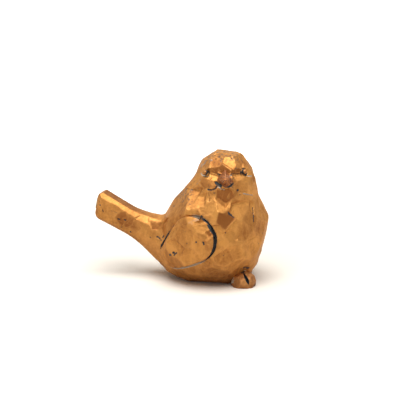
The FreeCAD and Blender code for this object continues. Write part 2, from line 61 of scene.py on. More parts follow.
CAMERA_TILT = math.radians(14)
CAMERA_DISTANCE = 0.700
CAMERA_LENS = 101.0
SENSOR_WIDTH = 36.0
LOOK_AT = Vector((-0.0024, -0.0005, 0.0439))


def nodes_of(owner):
    """A clean node tree for a material or the world, and short ways to add nodes and to wire
    them, the wires as rows: from a node, its socket, to a node, its socket."""
    owner.use_nodes = True
    tree = owner.node_tree
    tree.nodes.clear()

    def add(kind, inputs=None, **settings):
        """A new node with its settings and the values of its sockets."""
        node = tree.nodes.new(kind)
        for key, value in settings.items():
            setattr(node, key, value)
        for key, value in (inputs or {}).items():
            node.inputs[key].default_value = value
        return node

    def wire(*runs):
        """Links, one for each row."""
        for source, outlet, target, inlet in runs:
            tree.links.new(source.outputs[outlet], target.inputs[inlet])

    return add, wire


def ranged(add, low, high, to_low=0.0, to_high=1.0):
    """A node that spreads low to high evenly over to_low to to_high, and goes no further."""
    return add("ShaderNodeMapRange", {"From Min": low, "From Max": high, "To Min": to_low, "To Max": to_high})


def seen_directly(add, wire, mirrored=None):
    """1 for what the camera or a glass sees and what a mirror sees, there times `mirrored`,
    and 0 for light on its way to the bird."""
    path = add("ShaderNodeLightPath")
    glossy = add("ShaderNodeMath", {1: 1.0}, operation="MULTIPLY")
    first, second = (add("ShaderNodeMath", operation="MAXIMUM") for _ in range(2))
    wire((path, "Is Glossy Ray", glossy, 0), (path, "Is Camera Ray", first, 0), (glossy, 0, first, 1),
         (first, 0, second, 0), (path, "Is Transmission Ray", second, 1))
    if mirrored is not None:
        wire((mirrored, "Result", glossy, 1))
    return second


table_mesh = bpy.data.meshes.new("table_sheet")
half = TABLE_SIZE / 2
table_mesh.from_pydata([(-half, -half, 0), (half, -half, 0), (half, half, 0), (-half, half, 0)],
                       [], [(0, 1, 2, 3)])
table = bpy.data.objects.new("table_sheet", table_mesh)
bpy.context.scene.collection.objects.link(table)

sheet = bpy.data.materials.new("white_sheet")
add, wire = nodes_of(sheet)
out = add("ShaderNodeOutputMaterial")
plain = add("ShaderNodeBsdfDiffuse", {"Color": SHEET_LIT})
seen = add("ShaderNodeBsdfDiffuse", {"Color": SHEET_SEEN})
place = add("ShaderNodeTexCoord")
far = add("ShaderNodeVectorMath", operation="LENGTH")
fade = ranged(add, 0.07, 0.4, 0.02, 0.9)
lift = add("ShaderNodeEmission", {"Color": WHITE})
both = add("ShaderNodeAddShader")
pick = add("ShaderNodeMixShader")
wire((place, "Object", far, 0), (far, "Value", fade, "Value"), (fade, "Result", lift, "Strength"),
     (seen, 0, both, 0), (lift, 0, both, 1), (seen_directly(add, wire), 0, pick, 0),
     (plain, 0, pick, 1), (both, 0, pick, 2), (pick, 0, out, "Surface"))
table_mesh.materials.append(sheet)

room = bpy.data.worlds.new("pale_room")
bpy.context.scene.world = room
add, wire = nodes_of(room)
out = add("ShaderNodeOutputWorld")
way = add("ShaderNodeTexCoord")
toward_light = add("ShaderNodeVectorMath", {1: BRIGHT_WALL}, operation="DOT_PRODUCT")
behind = ranged(add, -0.45, 0.65, 0.15, 1.0)
lit = add("ShaderNodeBackground", {"Color": ROOM_LIGHT})
white = add("ShaderNodeBackground", {"Color": WHITE})
pick = add("ShaderNodeMixShader")
wire((way, "Generated", toward_light, 0), (toward_light, "Value", behind, "Value"),
     (seen_directly(add, wire, behind), 0, pick, 0), (lit, 0, pick, 1), (white, 0, pick, 2),
     (pick, 0, out, "Surface"))


def soft_lamp(name, place, size, watts):
    """A square soft lamp that points at the bird's middle."""
    lamp = bpy.data.lights.new(name, "AREA")
    lamp.shape = "SQUARE"
    lamp.size = size
    lamp.energy = watts
    holder = bpy.data.objects.new(name, lamp)
    holder.location = place
    holder.rotation_euler = (LAMP_AIM - holder.location).to_track_quat("-Z", "Y").to_euler()
    bpy.context.scene.collection.objects.link(holder)


soft_lamp("lamp_over_front", LAMP_PLACE, LAMP_SIZE, LAMP_WATTS)

bpy.context.scene.view_settings.view_transform = "Standard"
camera = bpy.data.objects.new("camera", bpy.data.cameras.new("camera"))
camera.data.lens = CAMERA_LENS
camera.data.sensor_width = SENSOR_WIDTH
sight = Vector((-math.sin(CAMERA_TURN) * math.cos(CAMERA_TILT),
                math.cos(CAMERA_TURN) * math.cos(CAMERA_TILT), -math.sin(CAMERA_TILT)))
camera.location = LOOK_AT - sight * CAMERA_DISTANCE
camera.rotation_euler = sight.to_track_quat("-Z", "Y").to_euler()
camera.data.clip_start = 0.01
bpy.context.scene.collection.objects.link(camera)
bpy.context.scene.camera = camera

# ---------------------------------------------------------------------------
# The body.
# Two hollowed halves of limewood glued on the middle plane and then carved as
# one egg with a broad knife, so the seam is lost under the gesso and the paint.
# Sizes in this file are millimetres up to the point where a mesh is made.
# ---------------------------------------------------------------------------
MM = 0.001
DENSITY = 1.0
BATCH = 16384
UP = np.array([0.0, 0.0, 1.0])
BELLY = np.array([1.8, 0.0, 30.0])
BODY_MIDDLE = np.array([1.8, 0.0, 28.0])
NECK_HEIGHT = 58.0
NECK_MIDDLE = np.array([7.4, 0.0, NECK_HEIGHT])
NECK_CAP = (0.97, 0.6, 0.0)
FACE_TURN = -77.0
FILLET = 3.0
# the broad cuts: how deep, how uneven their spiral, and how round the edges between them
GOLDEN_TURN = math.pi * (1 + math.sqrt(5))
CUT_DEPTH, CUT_WANDER = 0.5, 0.09
BODY_EDGE, HEAD_EDGE, RUMP_EDGE, BAR_EDGE = 0.32, 0.30, 0.5, 0.25
# the listed cuts: how their banks rise and fade in tone, and how round their edges are
STOP_SLOPE, STOP_CURL = 0.25, 0.4
BANK_TONE, BANK_FADE = 0.4, 0.4
SCOOP_EDGE, SCOOP_BLEND = 0.13, 0.16
# the small cuts: how many, and how soft, round and deep they are
BODY_DRESSING, HEAD_DRESSING, BAR_DRESSING = 900, 260, 110
SMALL_CUT_SOFT, SMALL_CUT_EDGE, SMALL_CUT_DEEPEST = 0.02, 0.03, 0.35
# rays and distances: further than anything, the longest ray, and a first guess
FAR, LONGEST_RAY, USUAL_REACH = 99.0, 60.0, 24.0
PATH_NEAR = 4.0
# old dust with a painted grey sheen: how dark and how chalky grey it makes the paint
DUST_AND_SHEEN_WASH, DUST_AND_SHEEN_GROUND = 0.38, 0.28
SHARP_EDGE = math.radians(35)


def lump(centre, half_sizes, turn=0.0):
    """A rounded lump: its centre, its half sizes, and how its own axes lie when turned."""
    c, s = math.cos(math.radians(turn)), math.sin(math.radians(turn))
    return np.array(centre, float), np.array(half_sizes, float), np.array([[c, s, 0], [-s, c, 0], [0, 0, 1]])


def held(values):
    """Values held between 0 and 1."""
    return np.clip(values, 0, 1)


def unit(ways):
    """Rows of directions, each made one long."""
    return ways / np.linalg.norm(ways, axis=1, keepdims=True)


def heading(turn, rise):
    """Directions from turns about the upright and rises over the level, in degrees."""
    t, r = np.radians(turn), np.radians(rise)
    return np.stack([np.cos(r) * np.cos(t), np.cos(r) * np.sin(t), np.sin(r)], -1)


def touch(lumps, ways):
    """Where a flat board held square to each way first touches the lumps."""
    spots, best = None, None
    for centre, half_sizes, axes in lumps:
        own = ways @ axes.T
        stretch = np.sqrt(((half_sizes * own) ** 2).sum(1))
        point = centre + ((half_sizes ** 2 * own) / stretch[:, None]) @ axes
        reach = ways @ centre + stretch
        if best is None:
            best, spots = reach, point
        spots = np.where((reach > best)[:, None], point, spots)
        best = np.maximum(reach, best)
    return spots


def knife_cuts(lumps, count, start, hollow):
    """Knife cuts spread all round the lumps on a golden spiral that wanders a little.
    A cut is a shallow scallop: a ball of radius `hollow` that bites in from outside.
    Each cut has its own tone, because each was burnished by itself."""
    number = np.arange(count)
    rise = 1 - (2 * number + 1) / count + CUT_WANDER * np.sin(7.9 * number + start)
    rise = np.clip(rise, -0.999, 0.999)
    turn = GOLDEN_TURN * number + 2 * CUT_WANDER * np.sin(5.3 * number + 2 * start)
    flat = np.sqrt(1 - rise ** 2)
    ways = np.stack([flat * np.cos(turn), flat * np.sin(turn), rise], 1)
    depth = CUT_DEPTH * (0.5 + 0.5 * np.sin(3.7 * number + 3 * start))
    tone = 0.30 + 0.22 * np.sin(2.9 * number + start)
    return ways, touch(lumps, ways) - ways * depth[:, None], np.full(count, hollow), tone


def soft_top(height, tones, edge):
    """Three rows over the highest of many cuts at each point: its height with the edges
    rounded by about `edge`, the tone of the cut that lies there, and the edge wear: 0 on a
    face, a half where two cuts meet."""
    top = height.max(1)
    weight = np.exp((height - top[:, None]) / np.float32(edge))
    total = weight.sum(1)
    return np.stack([top + edge * np.log(total), (weight * tones).sum(1) / total, 1 - 1 / total])


def over(points, cuts, edge):
    """The soft top of hollow-knife cuts: how far each point lies inside each knife's ball."""
    ways, spots, hollows, tones = cuts
    hubs = (spots + ways * hollows[:, None]).astype(np.float32)
    hollows = hollows.astype(np.float32)
    rows = np.empty((3, len(points)), np.float32)
    for first in range(0, len(points), BATCH):
        part = points[first:first + BATCH].astype(np.float32)
        height = part @ (-2 * hubs.T)
        height += (hubs ** 2).sum(1)
        height += (part ** 2).sum(1)[:, None]
        rows[:, first:first + BATCH] = soft_top(hollows - np.sqrt(np.maximum(height, 0)), tones, edge)
    return rows


def over_flats(points, cuts, edge):
    """The soft top of flat cuts that end at stop cuts: height over each cut's plane, less a
    bank past the furthest of the cut's five straight edges that steepens as it goes."""
    ways, spots, edges, reaches, tones = cuts
    rows = np.empty((3, len(points)), np.float32)
    for first in range(0, len(points), BATCH):
        part = points[first:first + BATCH]
        along = part @ ways.T - (spots * ways).sum(1)
        past = np.full(along.shape, -FAR)
        for side in range(edges.shape[1]):
            gap = part @ edges[:, side].T - (spots * edges[:, side]).sum(1) - reaches[:, side]
            past = np.maximum(past, gap)
        past = np.maximum(past, 0)
        faded = BANK_TONE + (tones - BANK_TONE) * np.exp(-past / BANK_FADE)
        rows[:, first:first + BATCH] = soft_top(along - past * (STOP_SLOPE + STOP_CURL * past), faded, edge)
    return rows


def join(one, other, fillet):
    """Two forms grown together with a hollow fillet about that wide."""
    share = held(0.5 + 0.5 * (other[0] - one[0]) / fillet)
    grown = other + (one - other) * share
    grown[0] -= fillet * share * (1 - share)
    return grown


def bite(form, scoops, edge):
    """A form with listed scoops taken out of it, the new edges rounded by about `edge`."""
    top = np.maximum(form[0], scoops[0])
    weights = np.exp((np.stack([form[0], scoops[0]]) - top) / edge)
    total = weights.sum(0)
    bitten = (form * weights[0] + scoops * weights[1]) / total
    bitten[0] = top + edge * np.log(total)
    bitten[2] = np.maximum(bitten[2], 1 - 1 / total)
    return bitten


BODY_CUTS, ROOT_CUTS, HEAD_CUTS = 130, 170, 64
BODY_HOLLOW, ROOT_HOLLOW, HEAD_HOLLOW = 110.0, 2000.0, 60.0
body_lumps = (lump((1.8, 0, 30), (30.5, 29.5, 32)), lump((7.3, 0, 49), (21.3, 20, 20)),
              lump((8, 0, 22), (22.5, 22, 23.5)), lump((-9.5, 0, 35), (20.5, 17, 15)),
              lump((-13, 0, 18.5), (20, 20, 19.5)))
root_lumps = (lump((-15, 0, 17), (17, 16.5, 17)), lump((-45.45, 0, 33), (7, 6, 6.9)))
head_lumps = (lump((7.4, 0, 63.3), (16.5, 17.1, 16), FACE_TURN),
              lump((7.85, -1.95, 57), (18, 19.3, 13), FACE_TURN))
body_cuts = knife_cuts(body_lumps, BODY_CUTS, 1.0, BODY_HOLLOW)
root_cuts = knife_cuts(root_lumps, ROOT_CUTS, 2.0, ROOT_HOLLOW)
head_cuts = knife_cuts(head_lumps, HEAD_CUTS, 3.0, HEAD_HOLLOW)

TAIL_PITCH = math.radians(28)
TAIL_AXIS = np.array([-math.cos(TAIL_PITCH), 0, math.sin(TAIL_PITCH)])
TAIL_UP = np.array([math.sin(TAIL_PITCH), 0, math.cos(TAIL_PITCH)])
TAIL_FOOT = np.array([-30.0, 0.0, 23.9])
TAIL_JOINT = 5.0
TAIL_LENGTH = 46.3
TAIL_END_LEAN = math.radians(16)
TENON_LENGTH = 8.0
TAIL_SPREAD = math.radians(1.7)
TAIL_SWEEP = 5.0
TAIL_TOP, TAIL_BOTTOM, TAIL_HALF_WIDTH = 6.9, 8.5, 7.0
TAIL_CHAMFER = 2.6
TAIL_HOLLOW = 600.0
# the tones of its top, bottom, two sides and end, of the eight chamfers, and of the tenon's end; the dark top
# and the light upper chamfers are partly painted shade and painted highlight
TAIL_TONES = (0.9, 0.6, 0.3, 0.3, 0.5, 0.05, 0.05, 0.4, 0.4, 0.6, 0.5, 0.5, 0.5, 0.5)


def tail_cuts():
    """The squared bar: four sides, four chamfers, an end that leans, its chamfers, and the
    tenon's flat end inside the rump."""
    side = np.array([0.0, 1.0, 0.0])
    end = TAIL_AXIS * math.cos(TAIL_END_LEAN) - TAIL_UP * math.sin(TAIL_END_LEAN)
    under = -TAIL_UP * math.cos(TAIL_SPREAD) - TAIL_AXIS * math.sin(TAIL_SPREAD)
    ways = [TAIL_UP, under, side, -side, end]
    reaches = [TAIL_TOP, TAIL_BOTTOM * math.cos(TAIL_SPREAD), TAIL_HALF_WIDTH, TAIL_HALF_WIDTH,
               TAIL_LENGTH * math.cos(TAIL_END_LEAN)]
    for one, other in ((0, 2), (0, 3), (1, 2), (1, 3), (4, 0), (4, 1), (4, 2), (4, 3)):
        both = ways[one] + ways[other]
        size = np.linalg.norm(both)
        ways.append(both / size)
        reaches.append((reaches[one] + reaches[other] - TAIL_CHAMFER) / size)
    ways = np.array(ways + [-TAIL_AXIS])
    reaches = np.array(reaches + [TENON_LENGTH])
    middle = TAIL_FOOT + TAIL_AXIS * 24
    spots = middle + ways * (reaches + ways @ TAIL_FOOT - ways @ middle)[:, None]
    return ways, spots, np.full(len(ways), TAIL_HOLLOW), np.array(TAIL_TONES)


bar_cuts = tail_cuts()


def body_and_tail(points):
    """The body, the rump and the tail grown together."""
    grown = join(over(points, body_cuts, BODY_EDGE), over(points, root_cuts, RUMP_EDGE), FILLET)
    return join(grown, over(points, bar_cuts, BAR_EDGE), TAIL_SWEEP)


def plain_bird(points):
    """The bird before the listed scoops: the head grown onto the rest."""
    return join(body_and_tail(points), over(points, head_cuts, HEAD_EDGE), FILLET)


def meet(form, starts, ways, far, guess, tries=10):
    """How far along rays from inside the wood the skin of a form lies: the secant rule
    from a guess, each ray held short of its far end."""
    reach = np.broadcast_to(np.minimum(guess, far), len(starts))
    value = form(starts + ways * reach[:, None])[0]
    slope = np.ones(len(reach))
    for _ in range(tries):
        fresh = np.clip(reach - np.clip(value / slope, -6, 6), 0.3, far)
        fresh_value = form(starts + ways * fresh[:, None])[0]
        moved = fresh - reach
        steep = np.where(np.abs(moved) > 1e-3, (fresh_value - value) / np.where(moved == 0, 1, moved), slope)
        slope = np.clip(steep, 0.25, 1.3)
        reach, value = fresh, fresh_value
    return reach


def skin_grid(form, starts, ways, far):
    """The points where a grid of rays comes out of a form: found for every fourth row and
    column first, then for all, from guesses on straight lines between those."""
    far = np.broadcast_to(far, ways.shape[:2])
    rows, columns = far.shape
    some_rows = np.unique(np.append(np.arange(0, rows, 4), rows - 1))
    some_columns = np.unique(np.append(np.arange(0, columns, 4), columns - 1))
    pick = np.ix_(some_rows, some_columns)
    coarse = meet(form, starts[pick].reshape(-1, 3), ways[pick].reshape(-1, 3), far[pick].ravel(),
                  USUAL_REACH, 14).reshape(far[pick].shape)

    def spread(values, some, count):
        """Rows at every place, on straight lines between the few places that have one."""
        spot = np.interp(np.arange(count), some, np.arange(len(some)))
        low = np.minimum(spot.astype(int), len(some) - 2)
        share = (spot - low)[:, None]
        return values[low] * (1 - share) + values[low + 1] * share

    guess = spread(spread(coarse, some_rows, rows).T, some_columns, columns).T
    reach = meet(form, starts.reshape(-1, 3), ways.reshape(-1, 3), far.ravel(), guess.ravel(), 4)
    return starts + ways * reach.reshape(far.shape)[..., None]


def cut_marks(form, grid):
    """The tone and the edge wear of the cuts over a grid on a form's skin."""
    return form(grid.reshape(-1, 3))[1:].reshape(2, *grid.shape[:2])


def uphill(form, points):
    """The way straight out of a form's skin: its slope over a twentieth of a millimetre."""
    step = 0.05
    here = form(points)[0]
    slope = np.stack([form(points + step * axis)[0] - here for axis in np.eye(3)], 1)
    return unit(slope)


def hand_cuts(form, inside, ways, rows):
    """Flat five-sided cuts set one by one where rays from inside the wood come out. Each row:
    half the cut's width and height, how far it is rolled round, its depth in the middle, how
    many degrees it leans up and swings ahead from square to the skin, and its tone."""
    count = len(rows)
    inside = np.broadcast_to(inside, (count, 3))
    ways = np.broadcast_to(ways, (count, 3))
    spots = inside + ways * meet(form, inside, ways, LONGEST_RAY, 20.0)[:, None]
    half_width, half_height, roll, depth, lean, swing, tone = rows.T
    square = uphill(form, spots)
    upward = unit(UP - square * square[:, 2:])
    sideways = np.cross(upward, square)
    up_by, ahead_by = np.tan(np.radians(lean))[:, None], np.tan(np.radians(swing))[:, None]
    leant = square + up_by * upward + ahead_by * sideways
    spots = spots - square * depth[:, None]
    number = np.arange(count)[:, None]
    turn = np.radians(roll[:, None] + 72 * np.arange(5) + 14 * np.sin(2.3 * number + 1.9 * np.arange(5)))
    edges = np.cos(turn)[..., None] * sideways[:, None] + np.sin(turn)[..., None] * upward[:, None]
    reaches = np.hypot(half_width[:, None] * np.cos(turn), half_height[:, None] * np.sin(turn))
    return unit(leant), spots, edges, reaches, tone


# each cut's turn and tilt seen from the middle of its piece, or on the tail its place along
# the bar and over it, and then its own row; its tone is partly burnish and partly painted shade and painted
# highlight on that facet
body_rows = np.array((
    (-62.5, 50.6, 4.3, 2.8, 100, 0.4, -5, 0, 1.1), (-70.5, 29.5, 6.4, 7.2, 32, 1.0, 3, 0, 1.15),
    (-21.5, 32.0, 1.4, 3.4, 0, 0.4, 10, -24, 0.0),
    (-108.0, 43.0, 5.0, 5.4, 10, 0.4, 0, 2, 0.4), (-90.0, 41.0, 4.4, 4.6, 60, 0.4, 3, 0, 0.25),
    (-65.0, 40.0, 3.8, 3.6, 30, 0.5, -7, 0, 0.35), (-41.0, 34.5, 6.2, 3.8, 80, 0.4, 5, -6, 0.05),
    (-45.1, 15.0, 6.0, 6.2, 40, 0.4, -4, 0, 0.45), (-123.6, 49.0, 4.0, 5.2, 0, 0.3, 0, 6, 0.7),
    (-60.0, 4.0, 4.8, 5.0, 50, 0.4, 2, 0, 0.25), (-80.0, 10.0, 4.4, 4.6, 25, 0.4, 3, 0, 0.2),
    (-50.0, -10.0, 4.6, 4.4, 70, 0.4, 0, 0, 0.35), (-84.0, -12.0, 4.6, 3.8, 20, 0.4, 2, 0, 0.15),
    (-68.0, -20.0, 4.4, 3.6, 45, 0.4, 2, 0, 0.45),
))
head_rows = np.array((
    (-58.5, 49.5, 3.8, 3.2, 18, 0.6, -2, -4, 0.0), (-101.5, 45.5, 3.4, 3.0, 54, 0.5, -8, 0, 0.7),
    (-78.0, 29.0, 3.6, 2.6, 90, 0.6, -14, 0, 1.3), (-106.0, 27.0, 3.6, 2.0, 90, 0.5, -14, 0, 1.0),
    (-52.0, 27.0, 3.6, 2.0, 90, 0.5, -12, 0, 0.9), (-106.0, 10.5, 5.4, 1.3, 90, 0.9, 24, 3, 0.0),
    (-104.0, -1.5, 5.4, 3.2, 90, 0.75, -4, 3, 0.75), (-116.0, 0.0, 3.4, 2.8, 10, 0.3, -4, 0, 0.6),
    (-46.0, 9.0, 3.0, 1.9, 90, 0.35, 28, -10, 0.0), (-42.0, 33.0, 2.8, 3.0, 40, 0.4, 4, 0, 0.35),
    (-46.0, -6.0, 4.6, 3.0, 60, 0.3, -2, 0, 0.4),
    (-80.0, 66.0, 3.8, 3.4, 10, 0.4, 0, 0, 0.6), (-132.0, 40.0, 3.6, 3.8, 30, 0.3, 0, 0, 0.5),
))
tail_rows = np.array((
    (27.7, -0.1, 2.8, 3.0, 10, 0.35, -4, 0, 0.95), (23.3, 0.1, 2.6, 2.8, 60, 0.3, -4, 0, 0.9),
    (17.9, -0.4, 2.8, 3.0, 30, 0.3, -2, 0, 0.7), (15.8, 6.0, 3.0, 2.6, 0, 0.3, 4, 0, 0.0),
    (7.5, 7.6, 2.6, 2.6, 50, 0.3, -6, 0, 0.95), (34.0, 1.5, 3.4, 3.4, 20, 0.25, 3, 0, 0.3),
))
tail_inside = TAIL_FOOT + tail_rows[:, :1] * TAIL_AXIS + tail_rows[:, 1:2] * TAIL_UP
HEAD_MIDDLE = np.array([7.4, 0.0, 63.3])
bird_scoops = tuple(np.concatenate(column) for column in zip(
    hand_cuts(plain_bird, BELLY, heading(body_rows[:, 0], body_rows[:, 1]), body_rows[:, 2:]),
    hand_cuts(plain_bird, HEAD_MIDDLE, heading(head_rows[:, 0], head_rows[:, 1]), head_rows[:, 2:]),
    hand_cuts(plain_bird, tail_inside, np.array([0, -1.0, 0]), tail_rows[:, 2:])))


def scooped(form, scoops):
    """A form with listed cuts taken out of it."""
    return lambda points: bite(form(points), over_flats(points, scoops, SCOOP_EDGE), SCOOP_BLEND)


bird = scooped(plain_bird, bird_scoops)


def to_table(starts, ways):
    """How far each ray goes before it meets the table: far away when it doesn't fall."""
    return np.where(ways[..., 2] < -1e-6, -starts[..., 2] / np.minimum(ways[..., 2], -1e-6), FAR)


def far_end(starts, ways):
    """How far each ray may go: to the table, or just past the tail's joint."""
    along = ways @ TAIL_AXIS
    joint = (TAIL_JOINT + 3 - (starts - TAIL_FOOT) @ TAIL_AXIS) / np.maximum(along, 1e-6)
    return np.minimum(np.minimum(LONGEST_RAY, to_table(starts, ways)), np.where(along > 1e-6, joint, FAR))


def dressing_cuts(count, middle, lowest, start):
    """Small cuts that dress the big ones: they face every way from a middle on a golden
    spiral, each with its own width, hollow, lean and tone, all drawn from a seeded sequence."""
    draw = np.random.default_rng(start)
    rise = np.linspace(1, lowest, count) + draw.normal(0, 0.02, count)
    turn = GOLDEN_TURN * np.arange(count) + draw.normal(0, 0.06, count)
    flat = np.sqrt(held(1 - rise ** 2))
    ways = np.stack([flat * np.cos(turn), flat * np.sin(turn), np.clip(rise, -1, 1)], 1)
    starts = np.broadcast_to(middle, ways.shape)
    spots = starts + ways * meet(bird, starts, ways, far_end(starts, ways), USUAL_REACH)[:, None]
    return dressed_at(bird, spots, draw)


def dressed_at(form, spots, draw):
    """One small cut at each spot on a form's skin."""
    count = len(spots)
    ways = unit(uphill(form, spots) + draw.normal(0, 0.045, (count, 3)))
    half_width, hollow = draw.uniform(1.3, 3.6, count), draw.uniform(11, 38, count)
    depth = hollow - np.sqrt(hollow ** 2 - half_width ** 2)
    return ways, spots - ways * depth[:, None], hollow, draw.uniform(-0.12, 0.12, count)


def dress(grid, normals, marks, cuts):
    """The skin with the small cuts taken out: it sinks by how far it lies inside each cut's
    ball, with a soft edge, and takes on something of the cut's tone and edge wear."""
    depth, tone, rub_and_highlight = over(grid.reshape(-1, 3), cuts, SMALL_CUT_EDGE).reshape(3, *grid.shape[:2])
    sink = SMALL_CUT_SOFT * np.log1p(np.exp(np.clip(depth / SMALL_CUT_SOFT, -30, 30)))
    inside = held(depth / (2 * SMALL_CUT_SOFT) + 0.5)
    marks["tone"] = marks["tone"] + tone * inside
    edge = np.exp(-(depth / SMALL_CUT_EDGE) ** 2) * 0.5
    marks["rub_and_highlight"] = np.maximum(marks["rub_and_highlight"], np.maximum(rub_and_highlight * inside, edge))
    return grid - normals * np.clip(sink, 0, SMALL_CUT_DEEPEST)[..., None]


def skin_normals(grid):
    """Outward directions over a grid whose columns go round and whose rows go up."""
    normal = np.cross(np.gradient(grid, axis=1), np.gradient(grid, axis=0))
    return normal / np.maximum(np.linalg.norm(normal, axis=2, keepdims=True), 1e-9)


def round_normals(grid):
    """Outward directions over a grid that also closes round its columns."""
    return skin_normals(np.concatenate([grid[:, -1:], grid, grid[:, :1]], 1))[:, 1:-1]


def spokes_at(turns):
    """Level directions at turns given in radians."""
    return np.stack([np.cos(turns), np.sin(turns), np.zeros(len(turns))], 1)


def rings_in(rim, middle, sizes):
    """Rings that shrink a rim towards a middle, one for each size."""
    return middle + (rim - middle) * np.array(sizes)[:, None, None]


def eased(share):
    """A share from 0 to 1 that starts and ends softly: three squares less two cubes."""
    return share * share * (3 - 2 * share)


def wander(grid, size, start):
    """A smooth unevenness between -1 and 1 over the skin: three crossed ripples `size` mm long."""
    x, y, z = np.moveaxis(grid, -1, 0) * (2 * math.pi / size)
    return (np.sin(x + 1.7 * y + start) + np.sin(1.3 * z - y + 2 * start) +
            np.sin(x - 0.8 * z + 3 * start)) / 3


def dust_and_sheen(grid, amount):
    """Old dust with a painted grey sheen: how much it darkens and how much chalky grey it adds, broken up by
    3 mm ripples.
    """
    dust_and_sheen_amount = amount * np.clip(1.0 + 0.5 * wander(grid, 3.0, 6.0), 0.4, 1.3)
    return DUST_AND_SHEEN_WASH * dust_and_sheen_amount, DUST_AND_SHEEN_GROUND * dust_and_sheen_amount


def trace(grid, normals, path):
    """Each skin point's distance to a path of straight lines, seen square on to the skin."""
    path = np.array(path, float).reshape(-1, 3)
    if len(path) == 1:
        path = np.repeat(path, 2, 0)
    nearest = np.full(grid.shape[:2], FAR)
    for start, end in zip(path[:-1], path[1:]):
        line = end - start
        share = held(((grid - start) @ line) / max(line @ line, 1e-9))
        gap = grid - start - share[..., None] * line
        height = (gap * normals).sum(2)
        flat = np.linalg.norm(gap - height[..., None] * normals, axis=2)
        nearest = np.minimum(nearest, np.where(np.abs(height) < PATH_NEAR, flat, FAR))
    return nearest


def scratch(grid, normals, marks, paths):
    """Knife slips, grooves and pits. Each row: half width, depth, how dark it is made (a dark wash in the
    cuts, and painted shade in the cuts under the beak), bare ground, and its path. The groove is a rounded V,
    and its edges wander a little."""
    sink = np.zeros(grid.shape[:2])
    for half_width, depth, wash_and_shade, ground, path in paths:
        gap = trace(grid, normals, path)
        near = eased(held(1.25 - gap / half_width + 0.22 * wander(grid, 3.1, depth)))
        sink = np.maximum(sink, depth * near)
        marks["wash_and_shade"] = np.maximum(marks["wash_and_shade"], wash_and_shade * near)
        marks["ground"] = np.maximum(marks["ground"], ground * near)
    return grid - normals * sink[..., None]


small_cuts = [dressing_cuts(BODY_DRESSING, BODY_MIDDLE, -0.98, 11),
              dressing_cuts(HEAD_DRESSING, HEAD_MIDDLE, -0.45, 12)]
draw = np.random.default_rng(13)
bar_spots = TAIL_FOOT + np.linspace(3, 43, BAR_DRESSING)[:, None] * TAIL_AXIS
round_bar = draw.uniform(0, 2 * math.pi, (BAR_DRESSING, 1))
bar_ways = np.cos(round_bar) * TAIL_UP + np.sin(round_bar) * np.array([0, 1.0, 0])
bar_spots = bar_spots + bar_ways * meet(bird, bar_spots, bar_ways, 40.0, 8.0)[:, None]
small_cuts.append(dressed_at(bird, bar_spots, draw))
small_cuts = tuple(np.concatenate(column) for column in zip(*small_cuts))


def closed_skin(name, grid, marks):
    """A mesh from rows of points that run from one pole to the other and close round.
    The first and last rows shrink to one point each; marks are painted per point."""
    rows, columns = grid.shape[:2]
    points = np.vstack([grid[0].mean(0), grid[1:-1].reshape(-1, 3), grid[-1].mean(0)]) * MM
    number = 1 + np.arange((rows - 2) * columns).reshape(rows - 2, columns)
    beside = np.roll(number, -1, 1)
    quads = np.stack([number[:-1], beside[:-1], beside[1:], number[1:]], 2).reshape(-1, 4)
    first_fan = np.stack([np.zeros(columns, int), beside[0], number[0]], 1)
    last_fan = np.stack([np.full(columns, len(points) - 1), number[-1], beside[-1]], 1)
    mesh = bpy.data.meshes.new(name)
    mesh.from_pydata(points, [], quads.tolist() + first_fan.tolist() + last_fan.tolist())
    for label, values in marks.items():
        layer = mesh.attributes.new(label, "FLOAT", "POINT")
        column = np.concatenate([[values[0].mean()], values[1:-1].ravel(), [values[-1].mean()]])
        layer.data.foreach_set("value", column.astype(np.float32))
    mesh.shade_smooth()
    mesh.set_sharp_from_angle(angle=SHARP_EDGE)
    piece = bpy.data.objects.new(name, mesh)
    bpy.context.scene.collection.objects.link(piece)
    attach(piece, "root")
    return piece


def noise(add, scale, detail=2.0, rough=0.5, distortion=0.0):
    """A cloudy pattern of that many waves to the metre."""
    return add("ShaderNodeTexNoise", {"Scale": scale, "Detail": detail, "Roughness": rough,
                                      "Distortion": distortion})


BRONZE_TINT = (0.82, 0.65, 0.49, 1)
# black for the dark wash in the cuts and also for painted shade; chalk grey for bare gesso and also for a
# painted grey sheen
WASH_AND_SHADE_BLACK = (0.028, 0.036, 0.044, 1)
CHALK_AND_SHEEN = (0.56, 0.50, 0.41, 1)


